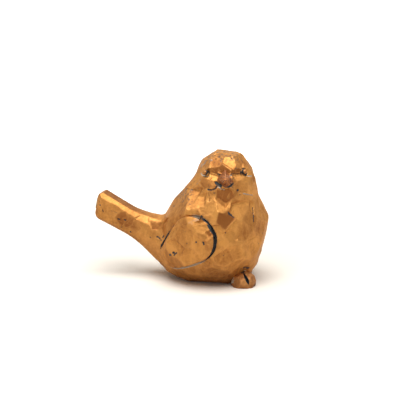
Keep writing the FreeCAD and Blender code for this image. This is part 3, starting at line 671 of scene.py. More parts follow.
def gilt_paint(name, bright, dull, rough=0.46, metal=0.6):
    """Copper-gold bronze paint over gesso: two golds mottled together and by the cut's own tone, which also
    carries painted shade and painted highlight;
    light on worn edges and on painted highlight, dark in the dark wash and in painted shade, and chalky on
    bare gesso and on a painted grey sheen."""
    paint = bpy.data.materials.new(name)
    add, wire = nodes_of(paint)
    out = add("ShaderNodeOutputMaterial")
    skin = add("ShaderNodeBsdfPrincipled", {"Specular Tint": BRONZE_TINT, "Specular IOR Level": 0.4})
    place = add("ShaderNodeTexCoord")
    mottle = noise(add, 95.0, 5.0, 0.62)
    grain = noise(add, 620.0, 4.0, 0.6)
    brushed = add("ShaderNodeMapping", {"Scale": (1.0, 1.0, 0.2)})
    streak = noise(add, 420.0, 3.0, 0.55, 0.4)
    pits = add("ShaderNodeTexVoronoi", {"Scale": 170.0})
    pit_pick = noise(add, 60.0)
    tone, rub_and_highlight, wash_and_shade, ground = (add("ShaderNodeAttribute", attribute_name=label)
                               for label in ("tone", "rub_and_highlight", "wash_and_shade", "ground"))
    mottle_part = ranged(add, 0.3, 0.72, -0.28, 0.34)
    grain_part = ranged(add, 0.3, 0.7, -0.20, 0.22)
    streak_part = ranged(add, 0.32, 0.68, -0.16, 0.18)
    blend, streaked, wash_and_shade_edge, ground_and_sheen_edge = (add("ShaderNodeMath", operation="ADD") for _ in range(4))
    toned = add("ShaderNodeMath", operation="ADD", use_clamp=True)
    warm = add("ShaderNodeMix", {6: bright + (1,), 7: dull + (1,)}, data_type="RGBA")
    light = tuple(min(1.0, 1.18 * c + 0.03) for c in bright)
    worn_and_highlit = add("ShaderNodeMix", {7: light + (1,)}, data_type="RGBA")
    wear_and_highlight = add("ShaderNodeMath", {1: 0.55}, operation="MULTIPLY", use_clamp=True)
    speck = ranged(add, 0.15, 0.05)
    sparse = ranged(add, 0.58, 0.64)
    pit = add("ShaderNodeMath", operation="MULTIPLY", use_clamp=True)
    wash_and_shade_part = ranged(add, 0.34, 0.74)
    ground_and_sheen_part = ranged(add, 0.34, 0.80, 0.0, 0.9)
    dark_part, bare = (add("ShaderNodeMath", operation="MAXIMUM") for _ in range(2))
    dark = add("ShaderNodeMix", {7: WASH_AND_SHADE_BLACK}, data_type="RGBA")
    chalk_and_sheen = add("ShaderNodeMix", {7: CHALK_AND_SHEEN}, data_type="RGBA")
    metal_part = ranged(add, 0.0, 1.0, metal, 0.0)
    coarse = ranged(add, 0.3, 0.7, rough - 0.06, rough + 0.10)
    bump = add("ShaderNodeBump", {"Strength": 0.6, "Distance": 0.0003})
    # the patterns, and the tone of the two golds
    wire((place, "Object", mottle, "Vector"), (place, "Object", pits, "Vector"),
         (place, "Object", pit_pick, "Vector"), (place, "Object", grain, "Vector"),
         (place, "Object", brushed, "Vector"), (brushed, "Vector", streak, "Vector"),
         (mottle, "Fac", mottle_part, "Value"), (grain, "Fac", grain_part, "Value"),
         (streak, "Fac", streak_part, "Value"), (mottle_part, "Result", blend, 0),
         (grain_part, "Result", blend, 1), (blend, 0, streaked, 0), (streak_part, "Result", streaked, 1),
         (streaked, 0, toned, 0), (tone, "Fac", toned, 1), (toned, 0, warm, "Factor"))
    # the worn edges and the painted highlight, then the dark wash and painted shade with the pits, then the
    # bare gesso and the painted grey sheen
    wire((rub_and_highlight, "Fac", wear_and_highlight, 0), (wear_and_highlight, 0, worn_and_highlit, "Factor"), (warm, 2, worn_and_highlit, 6),
         (pits, "Distance", speck, "Value"), (pit_pick, "Fac", sparse, "Value"),
         (speck, "Result", pit, 0), (sparse, "Result", pit, 1),
         (wash_and_shade, "Fac", wash_and_shade_edge, 0), (grain_part, "Result", wash_and_shade_edge, 1),
         (wash_and_shade_edge, 0, wash_and_shade_part, "Value"), (wash_and_shade_part, "Result", dark_part, 0), (pit, 0, dark_part, 1),
         (worn_and_highlit, 2, dark, 6), (dark_part, 0, dark, "Factor"),
         (ground, "Fac", ground_and_sheen_edge, 0), (mottle_part, "Result", ground_and_sheen_edge, 1),
         (ground_and_sheen_edge, 0, ground_and_sheen_part, "Value"), (dark, 2, chalk_and_sheen, 6),
         (ground_and_sheen_part, "Result", chalk_and_sheen, "Factor"), (chalk_and_sheen, 2, skin, "Base Color"))
    # no metal where wash or ground lies, and the grain felt as a fine bump
    wire((dark_part, 0, bare, 0), (ground_and_sheen_part, "Result", bare, 1), (bare, 0, metal_part, "Value"),
         (metal_part, "Result", skin, "Metallic"), (mottle, "Fac", coarse, "Value"),
         (coarse, "Result", skin, "Roughness"), (grain, "Fac", bump, "Height"),
         (bump, "Normal", skin, "Normal"), (skin, 0, out, "Surface"))
    return paint


COPPER_GOLD = (0.59, 0.266, 0.064)
# the dull brown, reached where the tone is high: rubbed gold, and also painted shade
SHADE_AND_RUBBED_BROWN = (0.27, 0.092, 0.020)
gilt = gilt_paint("copper_gold_paint", COPPER_GOLD, SHADE_AND_RUBBED_BROWN)

# the wing's outline from the side: two circles wrapped by a tight band
WING_FRONT = np.array([-6.5, 31.0])
WING_REAR = np.array([-20.4, 18.6])
WING_FRONT_RADIUS = 13.9
WING_REAR_RADIUS = 8.3
WING_MIDDLE = np.array([-12.5, 26.0])


def outside_wing(x, z):
    """Distance outside the wing's outline: to whichever circle, or to the straight band
    that wraps both, the point is square on to."""
    band = WING_REAR - WING_FRONT
    span = np.linalg.norm(band)
    along, across = band / span, np.array([-band[1], band[0]]) / span
    forward = (x - WING_FRONT[0]) * along[0] + (z - WING_FRONT[1]) * along[1]
    aside = np.abs((x - WING_FRONT[0]) * across[0] + (z - WING_FRONT[1]) * across[1])
    lean = (WING_FRONT_RADIUS - WING_REAR_RADIUS) / span
    square = math.sqrt(1 - lean * lean)
    side_on = square * forward - lean * aside
    to_front = np.hypot(aside, forward) - WING_FRONT_RADIUS
    to_rear = np.hypot(aside, forward - span) - WING_REAR_RADIUS
    to_band = square * aside + lean * forward - WING_FRONT_RADIUS
    return np.where(side_on < 0, to_front, np.where(side_on > square * span, to_rear, to_band))


# round the wing's edge: the angle seen from its middle, the groove's width and depth, its dark
# wash, and how much bare ground shows in it
WING_EDGE = np.array((
    (-180, 0.8, 1.1, 1.0, 0), (-166, 0.7, 0.9, 0.8, 0), (-156, 0.5, 0.6, 0.3, 0.1),
    (-140, 0.5, 0.5, 0.2, 0.2), (-120, 0.6, 0.7, 0.1, 0.6), (-100, 0.9, 0.8, 0.1, 0.85),
    (-80, 1.5, 0.7, 0.1, 0.9), (-60, 1.6, 0.7, 0.1, 0.9), (-38, 1.1, 0.7, 0.1, 0.8),
    (-24, 0.6, 0.8, 0.4, 0.4), (-12, 0.7, 1.1, 0.85, 0.15), (0, 1.1, 1.5, 0.95, 0.1),
    (20, 1.25, 1.6, 0.95, 0.2), (50, 1.1, 1.4, 0.95, 0.35), (68, 0.7, 1.1, 0.55, 0.45),
    (80, 0.5, 0.8, 0.25, 0.3), (92, 0.5, 0.5, 0.2, 0.2), (110, 0.4, 0.4, 0.2, 0.1),
    (138, 0.5, 0.6, 0.45, 0), (152, 0.6, 0.9, 0.75, 0), (168, 0.8, 1.1, 0.95, 0),
    (180, 0.8, 1.1, 1.0, 0),
)).T
RIM_REACH = 0.26
LEAST_FACING = 0.35
BED_DEPTH = 1.4
BED_LIP, BED_LIP_WIDTH = 0.22, 0.5


def wing_bed(grid, normals, marks):
    """The recess that the wing is let into, and the groove left open round its edge.
    Points near the groove's rim are drawn onto it, so that it is a clean knife line."""
    x, z = grid[..., 0], grid[..., 2]
    angle = np.degrees(np.arctan2(z - WING_MIDDLE[1], x - WING_MIDDLE[0]))
    width, depth, wash_and_shade, ground = (np.interp(angle, WING_EDGE[0], row) for row in WING_EDGE[1:])
    width = width + 0.12 * wander(grid, 9.0, 1.0)
    gap = outside_wing(x, z)
    slope_x = (outside_wing(x + 0.01, z) - gap) / 0.01
    slope_z = (outside_wing(x, z + 0.01) - gap) / 0.01
    pull = np.where(np.abs(gap - width) < RIM_REACH, width - gap, 0.0)
    lean = normals[..., 0] * slope_x + normals[..., 2] * slope_z
    side_on = normals[..., 1]
    side_on = np.where(np.abs(side_on) < LEAST_FACING, LEAST_FACING * np.sign(side_on + 1e-9), side_on)
    step = np.stack([slope_x, -lean / side_on, slope_z], -1)
    facing = np.abs(normals[..., 1:2]) > 0.2
    grid = np.where(facing, grid + step * pull[..., None], grid)
    gap = gap + pull
    inside = (gap < width - 0.02) & facing[..., 0]
    lip = BED_LIP * np.exp(-np.clip(gap - width, 0, 9) / BED_LIP_WIDTH)
    sink = np.where(inside, np.maximum(depth, np.where(gap < -0.6, BED_DEPTH, 0)), lip)
    strip = held((width + 0.25 - gap) / 0.2) * facing[..., 0]
    marks["wash_and_shade"] = np.maximum(marks["wash_and_shade"], strip * wash_and_shade)
    marks["ground"] = np.maximum(marks["ground"], strip * ground)
    return grid - normals * sink[..., None]


FINGER_HOLES = ((38, 22, 5.0), (62, 22, 6.0), (38, -8, 5.5), (62, -8, 7.0))
WALL = 5.5
# in hole radii: the rim's ring on the plain grid, how much of the grid is stretched, and how
# far out it is touched; in millimetres: the floor's ring inside the rim's, and the snap to it
HOLE_RIM, HOLE_STRETCH, HOLE_REACH = 0.86, 1.6, 2.4
HOLE_STEP, HOLE_SNAP = 0.75, 0.3


def finger_hole(grid, marks, turn, tilt, diameter):
    """A round hole through the wall: the grid is drawn in to a ring at the hole's rim, and
    what lies inside the ring is pushed down the bore."""
    way = heading(turn, tilt)
    radius = diameter / 2
    gap = grid - BELLY
    along = gap @ way
    flat = gap - along[..., None] * way
    off = np.linalg.norm(flat, axis=2)
    ahead = along > 0
    rim, floor = HOLE_RIM * radius, HOLE_RIM * radius - HOLE_STEP
    snapped = np.where(np.abs(off - floor) < HOLE_SNAP, floor, off)
    snapped = np.where(np.abs(off - rim) < HOLE_SNAP, rim, snapped)
    stretch = HOLE_STRETCH * radius
    fresh = np.where(snapped >= rim, radius + (snapped - rim) * stretch / (stretch + radius - rim),
                     np.where(snapped >= floor, radius, snapped * radius * 0.999 / floor))
    fresh = np.where(snapped > HOLE_REACH * radius, off, fresh)
    down = held((rim - snapped) / (rim - floor)) * (WALL + 1.5)
    moved = grid + flat * (fresh / np.maximum(off, 1e-6) - 1)[..., None] - way * down[..., None]
    near = ahead & (off < HOLE_REACH * radius)
    # painted shade: the wall inside each hole is made dark
    marks["wash_and_shade"] = np.where(near & (snapped < rim), 0.75, marks["wash_and_shade"])
    return np.where(near[..., None], moved, grid)


BODY_SCRATCHES = (
    (0.35, 0.25, 0.60, 0.0, ((2.1, -19.7, 58.1), (2.3, -20.3, 55.0), (2.6, -21.1, 53.1))),
    (0.55, 0.35, 0.75, 0.2, ((26.8, -9.9, 48.1), (27.2, -11.4, 44.2), (27.2, -12.2, 39.9))),
    (0.65, 0.40, 0.90, 0.4, ((27.2, -11.6, 43.0),)),
    (1.15, 0.30, 0.90, 0.0, ((14.9, -22.6, 47.0), (16.1, -22.0, 45.9))),
    (0.60, 0.30, 0.80, 0.0, ((16.1, -22.0, 45.9), (17.4, -21.8, 44.6))),
    (0.65, 0.30, 0.85, 0.0, ((19.7, -15.4, 56.6),)),
    (0.50, 0.30, 0.10, 0.90, ((21.5, -13.4, 57.0), (24.0, -10.9, 55.9), (26.0, -7.3, 54.8))),
    (0.55, 0.30, 0.85, 0.0, ((13.3, -25.8, 36.1),)), (0.50, 0.30, 0.85, 0.0, ((12.3, -25.6, 22.3),)),
    (0.85, 0.40, 0.90, 0.0, ((-31.1, -11.1, 27.1), (-29.8, -11.8, 26.4))),
    (0.80, 0.30, 0.85, 0.0, ((-28.6, -12.5, 25.7),)),
    (0.65, 0.30, 0.85, 0.0, ((-26.9, -13.2, 28.8), (-27.6, -12.9, 27.6))),
    (0.55, 0.30, 0.85, 0.0, ((-25.7, -11.2, 37.9),)), (0.40, 0.25, 0.70, 0.0, ((20.5, -22.2, 33.5),)),
    (1.20, 0.15, 0.75, 0.0, ((22.6, -14.0, 11.6), (24.6, -11.2, 10.8))),
)
# painted shade on the body: darker in the lowest 14 mm and black along the bottom; and where old dust with a
# painted grey sheen lies behind the neck
SHADE_BELOW, DUST_AND_SHEEN_OVER, DUST_AND_SHEEN_BEHIND = 14.0, 44.0, -3.0
BELLY_SHADE, BELLY_SHADE_TOP = 0.42, 7.0
UNDER_TAIL = 0.5


def half_body(name, side):
    """One half of the body: rows of D-shaped rings from the belly up to the neck. The round of
    the D is where rays from the hollow's middle leave the wood; its flat is the glued seam."""
    columns = int(250 * DENSITY)
    turns = np.linspace(-math.pi if side < 0 else 0.0, 0.0 if side < 0 else math.pi, columns)
    spokes = spokes_at(turns)
    below = np.linspace(-math.pi / 2, 0, int(150 * DENSITY))[:, None, None]
    levels = np.linspace(BODY_MIDDLE[2], NECK_HEIGHT, int(116 * DENSITY))[1:]
    low_ways = np.cos(below) * spokes + np.sin(below) * UP
    ways = np.vstack([low_ways, np.repeat(spokes[None], len(levels), 0)])
    share = ((levels - BODY_MIDDLE[2]) / (NECK_HEIGHT - BODY_MIDDLE[2]))[:, None, None]
    high_starts = BODY_MIDDLE + share * (NECK_MIDDLE - BODY_MIDDLE)
    starts = np.vstack([np.broadcast_to(BODY_MIDDLE, low_ways.shape),
                        np.broadcast_to(high_starts, (len(levels), columns, 3))])
    grid = skin_grid(bird, starts, ways, far_end(starts, ways))
    tone, rub_and_highlight = cut_marks(bird, grid)
    normals = skin_normals(grid)
    ahead, height = grid[..., 0], grid[..., 2]
    # painted shade: darker and with less edge wear towards the table, and black along the bottom; old dust
    # with a painted grey sheen behind the neck
    low = held((SHADE_BELOW - height) / SHADE_BELOW)
    wash_and_shade, ground = dust_and_sheen(grid, held((height - DUST_AND_SHEEN_OVER) / 8) * held((DUST_AND_SHEEN_BEHIND - ahead) / 7))
    marks = {"wash_and_shade": BELLY_SHADE * held((BELLY_SHADE_TOP - height) / 8) + wash_and_shade, "ground": ground,
             "tone": tone + 0.6 * low, "rub_and_highlight": rub_and_highlight * (1 - low)}
    # past the tail's joint the body's skin lies a little under the tail's own
    past = (grid - TAIL_FOOT) @ TAIL_AXIS - TAIL_JOINT
    grid = grid - normals * (UNDER_TAIL * held((past - 0.35) / 0.3))[..., None]
    grid = dress(grid, normals, marks, small_cuts)
    grid = wing_bed(grid, normals, marks)
    if side < 0:
        grid = scratch(grid, normals, marks, BODY_SCRATCHES)
    else:
        for turn, tilt, diameter in FINGER_HOLES:
            grid = finger_hole(grid, marks, turn, tilt, diameter)
    # the seam lies on the middle plane, and the top is closed flat under the head
    grid[:, (0, -1), 1] = 0
    grid = np.vstack([grid, rings_in(grid[-1], NECK_MIDDLE, NECK_CAP)])
    seam = np.linspace(0, 1, 8)[1:-1, None]
    flat = grid[:, -1:, :] + (grid[:, :1, :] - grid[:, -1:, :]) * seam
    full = np.concatenate([grid, flat], 1)
    shape = full.shape[:2]
    painted = {}
    for label, values in marks.items():
        painted[label] = np.zeros(shape)
        painted[label][:values.shape[0], :values.shape[1]] = values
    piece = closed_skin(name, full, painted)
    piece.data.materials.append(gilt)
    return piece


body_right = half_body("body_right", -1)
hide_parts("body_shell_right")
body_left = half_body("body_left", 1)
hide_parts("body_shell_left")

# ---------------------------------------------------------------------------
# The head.
# A solid block with a flat joint under the cheeks, dowelled and glued to the
# body and turned to look over the bird's right side. Its face is set out with
# V cuts from the beak through both eyes, and stained dark in the cuts.
# ---------------------------------------------------------------------------
FACE = heading(FACE_TURN, 0.0)
FACE_SIDE = np.array([-FACE[1], FACE[0], 0.0])


def middle_of(node):
    """A CAD node's middle, in millimetres."""
    low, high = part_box(node)
    return (np.array(low) + np.array(high)) / 2 / MM


EYES = (middle_of("eye_right"), middle_of("eye_left"))


def plain_head(points):
    """The head grown onto the shoulders."""
    return join(over(points, body_cuts, BODY_EDGE), over(points, head_cuts, HEAD_EDGE), FILLET)


head_and_neck = scooped(plain_head, bird_scoops)
HEAD_SCRATCHES = (
    # the eye line, from the beak's top corners out through both eyes
    (0.50, 0.40, 0.42, 0.0, ((2.6, -14.8, 68.6), (3.9, -14.9, 68.5), (6.0, -15.2, 68.5))),
    (1.00, 0.40, 0.70, 0.35, ((6.2, -15.4, 68.3), (7.2, -15.7, 67.9))),
    (0.45, 0.40, 0.95, 0.0, ((7.4, -15.7, 68.3),)),
    (1.20, 0.40, 0.70, 0.35, ((14.6, -15.6, 68.2), (16.2, -15.9, 66.8))),
    (0.80, 0.50, 0.95, 0.0, ((16.6, -15.6, 66.1),)),
    (0.42, 0.35, 0.55, 0.0, ((15.0, -14.6, 68.4), (17.4, -11.6, 68.0), (19.9, -9.2, 67.6))),
    # under the beak on both sides: black in shallow cuts, painted shade where the beak overhangs the face
    (1.20, 0.80, 1.00, 0.0, ((6.0, -17.6, 63.8), (7.6, -18.3, 62.9), (9.0, -19.0, 62.4))),
    (1.50, 0.80, 1.00, 0.0, ((15.4, -17.6, 63.6), (14.5, -18.5, 62.6), (13.3, -18.9, 61.9))),
    (0.60, 0.40, 0.90, 0.0, ((15.7, -18.1, 61.2),)),
    (0.50, 0.40, 0.20, 0.75, ((7.4, -19.1, 61.6), (8.9, -19.0, 60.7), (11.1, -18.9, 60.0))),
    # the lower edges of the cheeks
    (0.50, 0.60, 1.00, 0.0,
     ((6.6, -19.1, 62.0), (5.9, -20.0, 60.8), (3.8, -20.0, 59.9), (1.6, -18.3, 59.3))),
    (0.95, 0.50, 1.00, 0.0, ((18.6, -15.4, 59.2),)),
    (0.35, 0.25, 0.62, 0.0, ((1.6, -18.0, 62.4), (1.9, -18.8, 60.5), (2.1, -19.7, 58.2))),
    # white ground under the eyes, and pits over them
    (0.62, 0.35, 0.00, 0.95,
     ((-4.6, -10.4, 67.2), (-3.0, -13.0, 66.6), (-1.2, -14.5, 66.9), (1.6, -15.3, 67.6))),
    (0.62, 0.35, 0.00, 0.95, ((22.8, -7.0, 66.0), (24.6, -4.8, 65.8))),
    (0.55, 0.30, 0.70, 0.0, ((3.9, -8.8, 75.8), (3.6, -8.6, 75.9))),
    (0.55, 0.30, 0.70, 0.0, ((12.9, -6.5, 76.3),)),
    (0.50, 0.30, 0.90, 0.0, ((16.7, -10.5, 71.5),)), (0.45, 0.30, 0.85, 0.0, ((18.2, -8.8, 71.1),)),
)
# the cut round an eye, in millimetres: its middle line, half its width, its depth, its floor
SOCKET_RING, SOCKET_HALF, SOCKET_DEPTH, SOCKET_FLOOR = 2.05, 0.66, 0.45, 1.9
# old dust with a painted grey sheen on the crown and, thinner, on the side that the bird turns away
CROWN_DUST_AND_SHEEN, FAR_SIDE_DUST_AND_SHEEN = 70.0, 0.7


def away_from_head(eye):
    """The way an eye looks: straight out of the head's middle."""
    return (eye - HEAD_MIDDLE) / np.linalg.norm(eye - HEAD_MIDDLE)


def eye_socket(grid, normals, marks, eye, lobes, first):
    """A ring cut round an eye, deepest 2 mm from its middle and stained in `lobes` blotches."""
    gap = grid - eye
    sideways = np.cross(UP, away_from_head(eye))
    off = np.linalg.norm(gap, axis=2)
    uneven = 0.3 * wander(grid, 4.0, eye[0])
    ring = eased(held(1.35 - np.abs(off - SOCKET_RING) / SOCKET_HALF + uneven))
    inner = held((SOCKET_FLOOR - off) / 0.3)
    angle = np.arctan2(gap @ UP, gap @ sideways)
    blotch = 0.58 + 0.42 * np.cos(lobes * (angle - first)) + 0.2 * wander(grid, 1.7, eye[0])
    marks["wash_and_shade"] = np.maximum(marks["wash_and_shade"], np.maximum(ring * np.clip(blotch, 0.1, 1), inner))
    return grid - normals * (SOCKET_DEPTH * np.maximum(ring, inner))[..., None]


# columns closer together over the face than behind
head_columns = int(400 * DENSITY)
even = np.linspace(-math.pi, math.pi, head_columns, endpoint=False)
turns = math.radians(FACE_TURN) + even - 0.5 * np.sin(even)
spokes = spokes_at(turns)
levels = np.linspace(NECK_HEIGHT, HEAD_MIDDLE[2], int(30 * DENSITY))[:-1, None, None]
above = np.linspace(0, math.pi / 2, int(132 * DENSITY))[:, None, None]
high_ways = np.cos(above) * spokes + np.sin(above) * UP
low_starts = np.broadcast_to(HEAD_MIDDLE * (1, 1, 0) + levels * UP, (len(levels), head_columns, 3))
starts = np.vstack([low_starts, np.broadcast_to(HEAD_MIDDLE, high_ways.shape)])
ways = np.vstack([np.repeat(spokes[None], len(levels), 0), high_ways])
grid = skin_grid(head_and_neck, starts, ways, 40.0)
tone, rub_and_highlight = cut_marks(head_and_neck, grid)
normals = round_normals(grid)
# old dust with a painted grey sheen over the crown and the far side
dust_and_sheen_amount = held((grid[..., 2] - CROWN_DUST_AND_SHEEN) / 6) + FAR_SIDE_DUST_AND_SHEEN * held((2 - grid[..., 0]) / 7)
wash_and_shade, ground = dust_and_sheen(grid, np.minimum(dust_and_sheen_amount, 1))
marks = {"wash_and_shade": wash_and_shade, "ground": ground, "tone": tone, "rub_and_highlight": rub_and_highlight}
grid = dress(grid, normals, marks, small_cuts)
grid = eye_socket(grid, normals, marks, EYES[0], 2, 0.0)
grid = eye_socket(grid, normals, marks, EYES[1], 3, math.pi)
grid = scratch(grid, normals, marks, HEAD_SCRATCHES)
grid[0, :, 2] = NECK_HEIGHT
under = rings_in(grid[0], NECK_MIDDLE, NECK_CAP[::-1])
for label, values in marks.items():
    marks[label] = np.vstack([np.zeros((3, head_columns)), values])
head = closed_skin("head_carving", np.vstack([under, grid]), marks)
head.data.materials.append(gilt)
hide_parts("head")

# ---------------------------------------------------------------------------
# The beak.
# A short four-sided point of limewood with a round tenon, glued into the face
# and painted a redder copper than the rest.
# ---------------------------------------------------------------------------
BEAK_COPPER = (0.46, 0.165, 0.045)
BEAK_BROWN = (0.24, 0.070, 0.020)
beak_paint = gilt_paint("beak_copper", BEAK_COPPER, BEAK_BROWN, rough=0.40, metal=0.45)
BEAK_SEAT = NECK_MIDDLE + UP * 8.0
BEAK_CORNERS = np.array(((4.8, -1.3), (0.0, 5.0), (-4.8, -0.9), (0.3, -4.8)))
BEAK_LENGTH = 4.6
BEAK_TIP = np.array([0.0, -0.6])
BEAK_ROUND = 0.9
BEAK_SKIRT = 1.04
BEAK_SINK = 0.2


def face_depth(sideways, upward):
    """How far the face lies ahead of the neck's middle line, by rays along the way it looks."""
    shape = sideways.shape
    inside = BEAK_SEAT + sideways.ravel()[:, None] * FACE_SIDE + upward.ravel()[:, None] * UP
    ways = np.broadcast_to(FACE, inside.shape)
    return meet(head_and_neck, inside, ways, 40.0, 16.0).reshape(shape)


def beak_point_height(sideways, upward):
    """The beak's roof over the face: the lowest of four planes from its point to pairs of
    corners, the ridges rounded by a soft minimum."""
    lows = []
    for one, other in zip(BEAK_CORNERS, np.roll(BEAK_CORNERS, -1, 0)):
        square = np.array([other[1] - one[1], one[0] - other[0]])
        reach = (one - BEAK_TIP) @ square
        share = ((sideways - BEAK_TIP[0]) * square[0] + (upward - BEAK_TIP[1]) * square[1]) / reach
        lows.append(BEAK_LENGTH * (1 - share))
    lows = np.array(lows)
    base = lows.min(0)
    return base - BEAK_ROUND * np.log(np.exp(-(lows - base) / BEAK_ROUND).sum(0)) + 0.4


# the base's outline is a soft maximum of its four edges, a little past the corners
around = np.linspace(0, 2 * math.pi, int(144 * DENSITY), endpoint=False)
ring_out = np.linspace(0, 1, int(44 * DENSITY))[:, None]
beak_edges = np.roll(BEAK_CORNERS, -1, 0) - BEAK_CORNERS
beak_square = np.stack([beak_edges[:, 1], -beak_edges[:, 0]], 1)
across, up = np.cos(around), np.sin(around)
facing_edge = np.stack([across, up], 1) @ beak_square.T / (BEAK_CORNERS * beak_square).sum(1)
corner_reach = BEAK_SKIRT / (((np.maximum(facing_edge, 0) ** 9).sum(1)) ** (1 / 9))
sideways = ring_out * across * corner_reach
upward = ring_out * up * corner_reach
# the base follows the face: each corner slides along to where the face lies under it
seat = float(face_depth(np.zeros(1), np.zeros(1))[0])
corner_depths = face_depth(*BEAK_CORNERS.T) - seat
ease = ring_out ** 2 * sum(held(toward) ** 2 * depth
                           for toward, depth in zip((across, up, -across, -up), corner_depths))
ahead = seat + beak_point_height(sideways, upward) + ease - BEAK_SINK
flat_grid = np.stack([sideways, upward, ahead], -1)
uneven = 0.24 * wander(flat_grid, 4.2, 1.0) + 0.16 * wander(flat_grid, 1.9, 2.0)
ahead = ahead + uneven * (1 - ring_out ** 4)
outer = BEAK_SEAT + sideways[..., None] * FACE_SIDE + upward[..., None] * UP + ahead[..., None] * FACE
back = outer[-1] - FACE * 2.0
inner = rings_in(back, back.mean(0), (1.0, 0.5, 0.0))
beak_grid = np.vstack([outer, inner])[::-1]


def beak_mark(shown, hidden=0.0):
    """A mark over the whole beak: as given on the outside, and one value on the rings behind."""
    return np.vstack([shown, np.full((3, len(around)), hidden)])[::-1]


# darker round the base, darker underneath as painted shade, with black specks, and a lighter spot high on the
# ridge as a painted highlight
underside_shade = held(-upward / 4.7)
highlight_spot = np.exp(-(sideways ** 2 + (upward - 1.4) ** 2) / 0.9)
specks = np.clip(wander(flat_grid, 1.5, 5.0) - 0.05, 0, 0.5) * 1.2
stain_and_shade = held((ring_out - 0.84) / 0.16) * (0.25 + 0.7 * underside_shade)
beak_marks = {"wash_and_shade": beak_mark(np.maximum(stain_and_shade, specks)),
              "ground": beak_mark(np.clip(wander(flat_grid, 1.2, 7.0) - 0.25, 0, 0.5) * 0.9),
              "tone": beak_mark(0.40 + 0.4 * underside_shade + 0.55 * wander(flat_grid, 2.1, 3.0), 0.5),
              "rub_and_highlight": beak_mark(highlight_spot)}
beak = closed_skin("beak_point", beak_grid, beak_marks)
beak.data.materials.append(beak_paint)
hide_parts("beak")

# ---------------------------------------------------------------------------
# The eyes.
# Two small turned balls pressed into round sockets; the stain has crept up
# round them and the gold is rubbed through on top.
# ---------------------------------------------------------------------------
EYE_RADIUS = 1.58
EYE_COPPER = (0.60, 0.27, 0.075)
EYE_BROWN = (0.30, 0.11, 0.03)
eye_paint = gilt_paint("eye_copper", EYE_COPPER, EYE_BROWN, rough=0.42, metal=0.45)
for name, node, eye in (("eye_ball_right", "eye_right", EYES[0]), ("eye_ball_left", "eye_left", EYES[1])):
    around = np.linspace(0, 2 * math.pi, 48, endpoint=False)
    rows = np.linspace(-math.pi / 2, math.pi / 2, 33)[:, None]
    ball = np.stack([np.cos(rows) * np.cos(around), np.cos(rows) * np.sin(around),
                     np.broadcast_to(np.sin(rows), (33, 48))], -1)
    grid = eye + ball * (EYE_RADIUS * (1 - 0.05 * np.abs(wander(ball * 2, 3.0, eye[0]))))[..., None]
    height = ball @ away_from_head(eye)
    stain_and_shade = held((0.62 - height) / 0.35 + 0.25 * wander(grid, 1.6, 1.0))
    none = np.zeros(stain_and_shade.shape)
    tone = 0.45 + 0.3 * held(1 - height)
    piece = closed_skin(name, grid, {"wash_and_shade": stain_and_shade, "ground": none, "tone": tone, "rub_and_highlight": none})
    piece.data.materials.append(eye_paint)
    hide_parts(node)

# ---------------------------------------------------------------------------
# The wings.
# Egg-shaped panels let into shallow beds on the flanks and pegged there, a
# little proud of the body, with a V groove left open round the edge.
# ---------------------------------------------------------------------------
WING_PROUD = 1.7
WING_UNDER = 1.1
WING_ROUND = 0.9
WING_EDGE_SOFT = 0.22
WING_CUTS = 96
WING_DRESSING = 90
# ahead of and over the front circle's centre, then the cut's own row, whose tone is partly painted shade and
# painted highlight
wing_rows = np.array((
    (-1.2, 10.7, 6.4, 3.8, 90, 0.9, 29, 6, 0.0), (6.0, 8.4, 3.8, 2.8, 30, 0.7, 14, 4, 0.15),
    (-6.5, 9.5, 3.4, 3.4, 60, 0.4, 4, 4, 0.4), (11.2, 7.0, 1.6, 2.6, 0, 0.5, -8, 0, 0.8),
    (-4.5, 1.5, 5.4, 5.4, 20, 0.35, 0, 0, 0.40), (4.0, -3.0, 5.0, 4.8, 75, 0.35, 2, 0, 0.15),
    (-11.0, -7.0, 5.0, 4.8, 40, 0.15, 2, 4, 0.2), (-3.0, -9.0, 4.8, 4.2, 10, 0.3, 0, 0, 0.20),
))
RIGHT_WING_SCRATCHES = (
    (0.85, 0.35, 0.90, 0.0, ((1.4, -30.4, 30.9), (1.5, -30.4, 29.8))),
    (0.75, 0.30, 0.85, 0.0, ((-3.1, -29.7, 30.7),)), (0.75, 0.25, 0.60, 0.0, ((-9.0, -28.3, 29.1),)),
    (0.95, 0.40, 0.90, 0.0, ((-21.1, -22.0, 19.4), (-20.2, -22.6, 19.9))),
    (1.00, 0.40, 0.90, 0.0, ((-18.5, -23.7, 21.4), (-17.9, -24.0, 21.8))),
    (0.55, 0.30, 0.80, 0.0, ((-18.0, -24.0, 20.2), (-16.0, -24.8, 22.0))),
    (0.45, 0.22, 0.55, 0.0, ((-13.0, -28.3, 37.0), (-11.6, -28.6, 35.9), (-10.2, -28.9, 36.0))),
    (0.95, 0.50, 0.85, 0.1, ((3.4, -27.6, 40.4), (4.8, -28.2, 38.3), (6.2, -28.3, 36.3))),
)


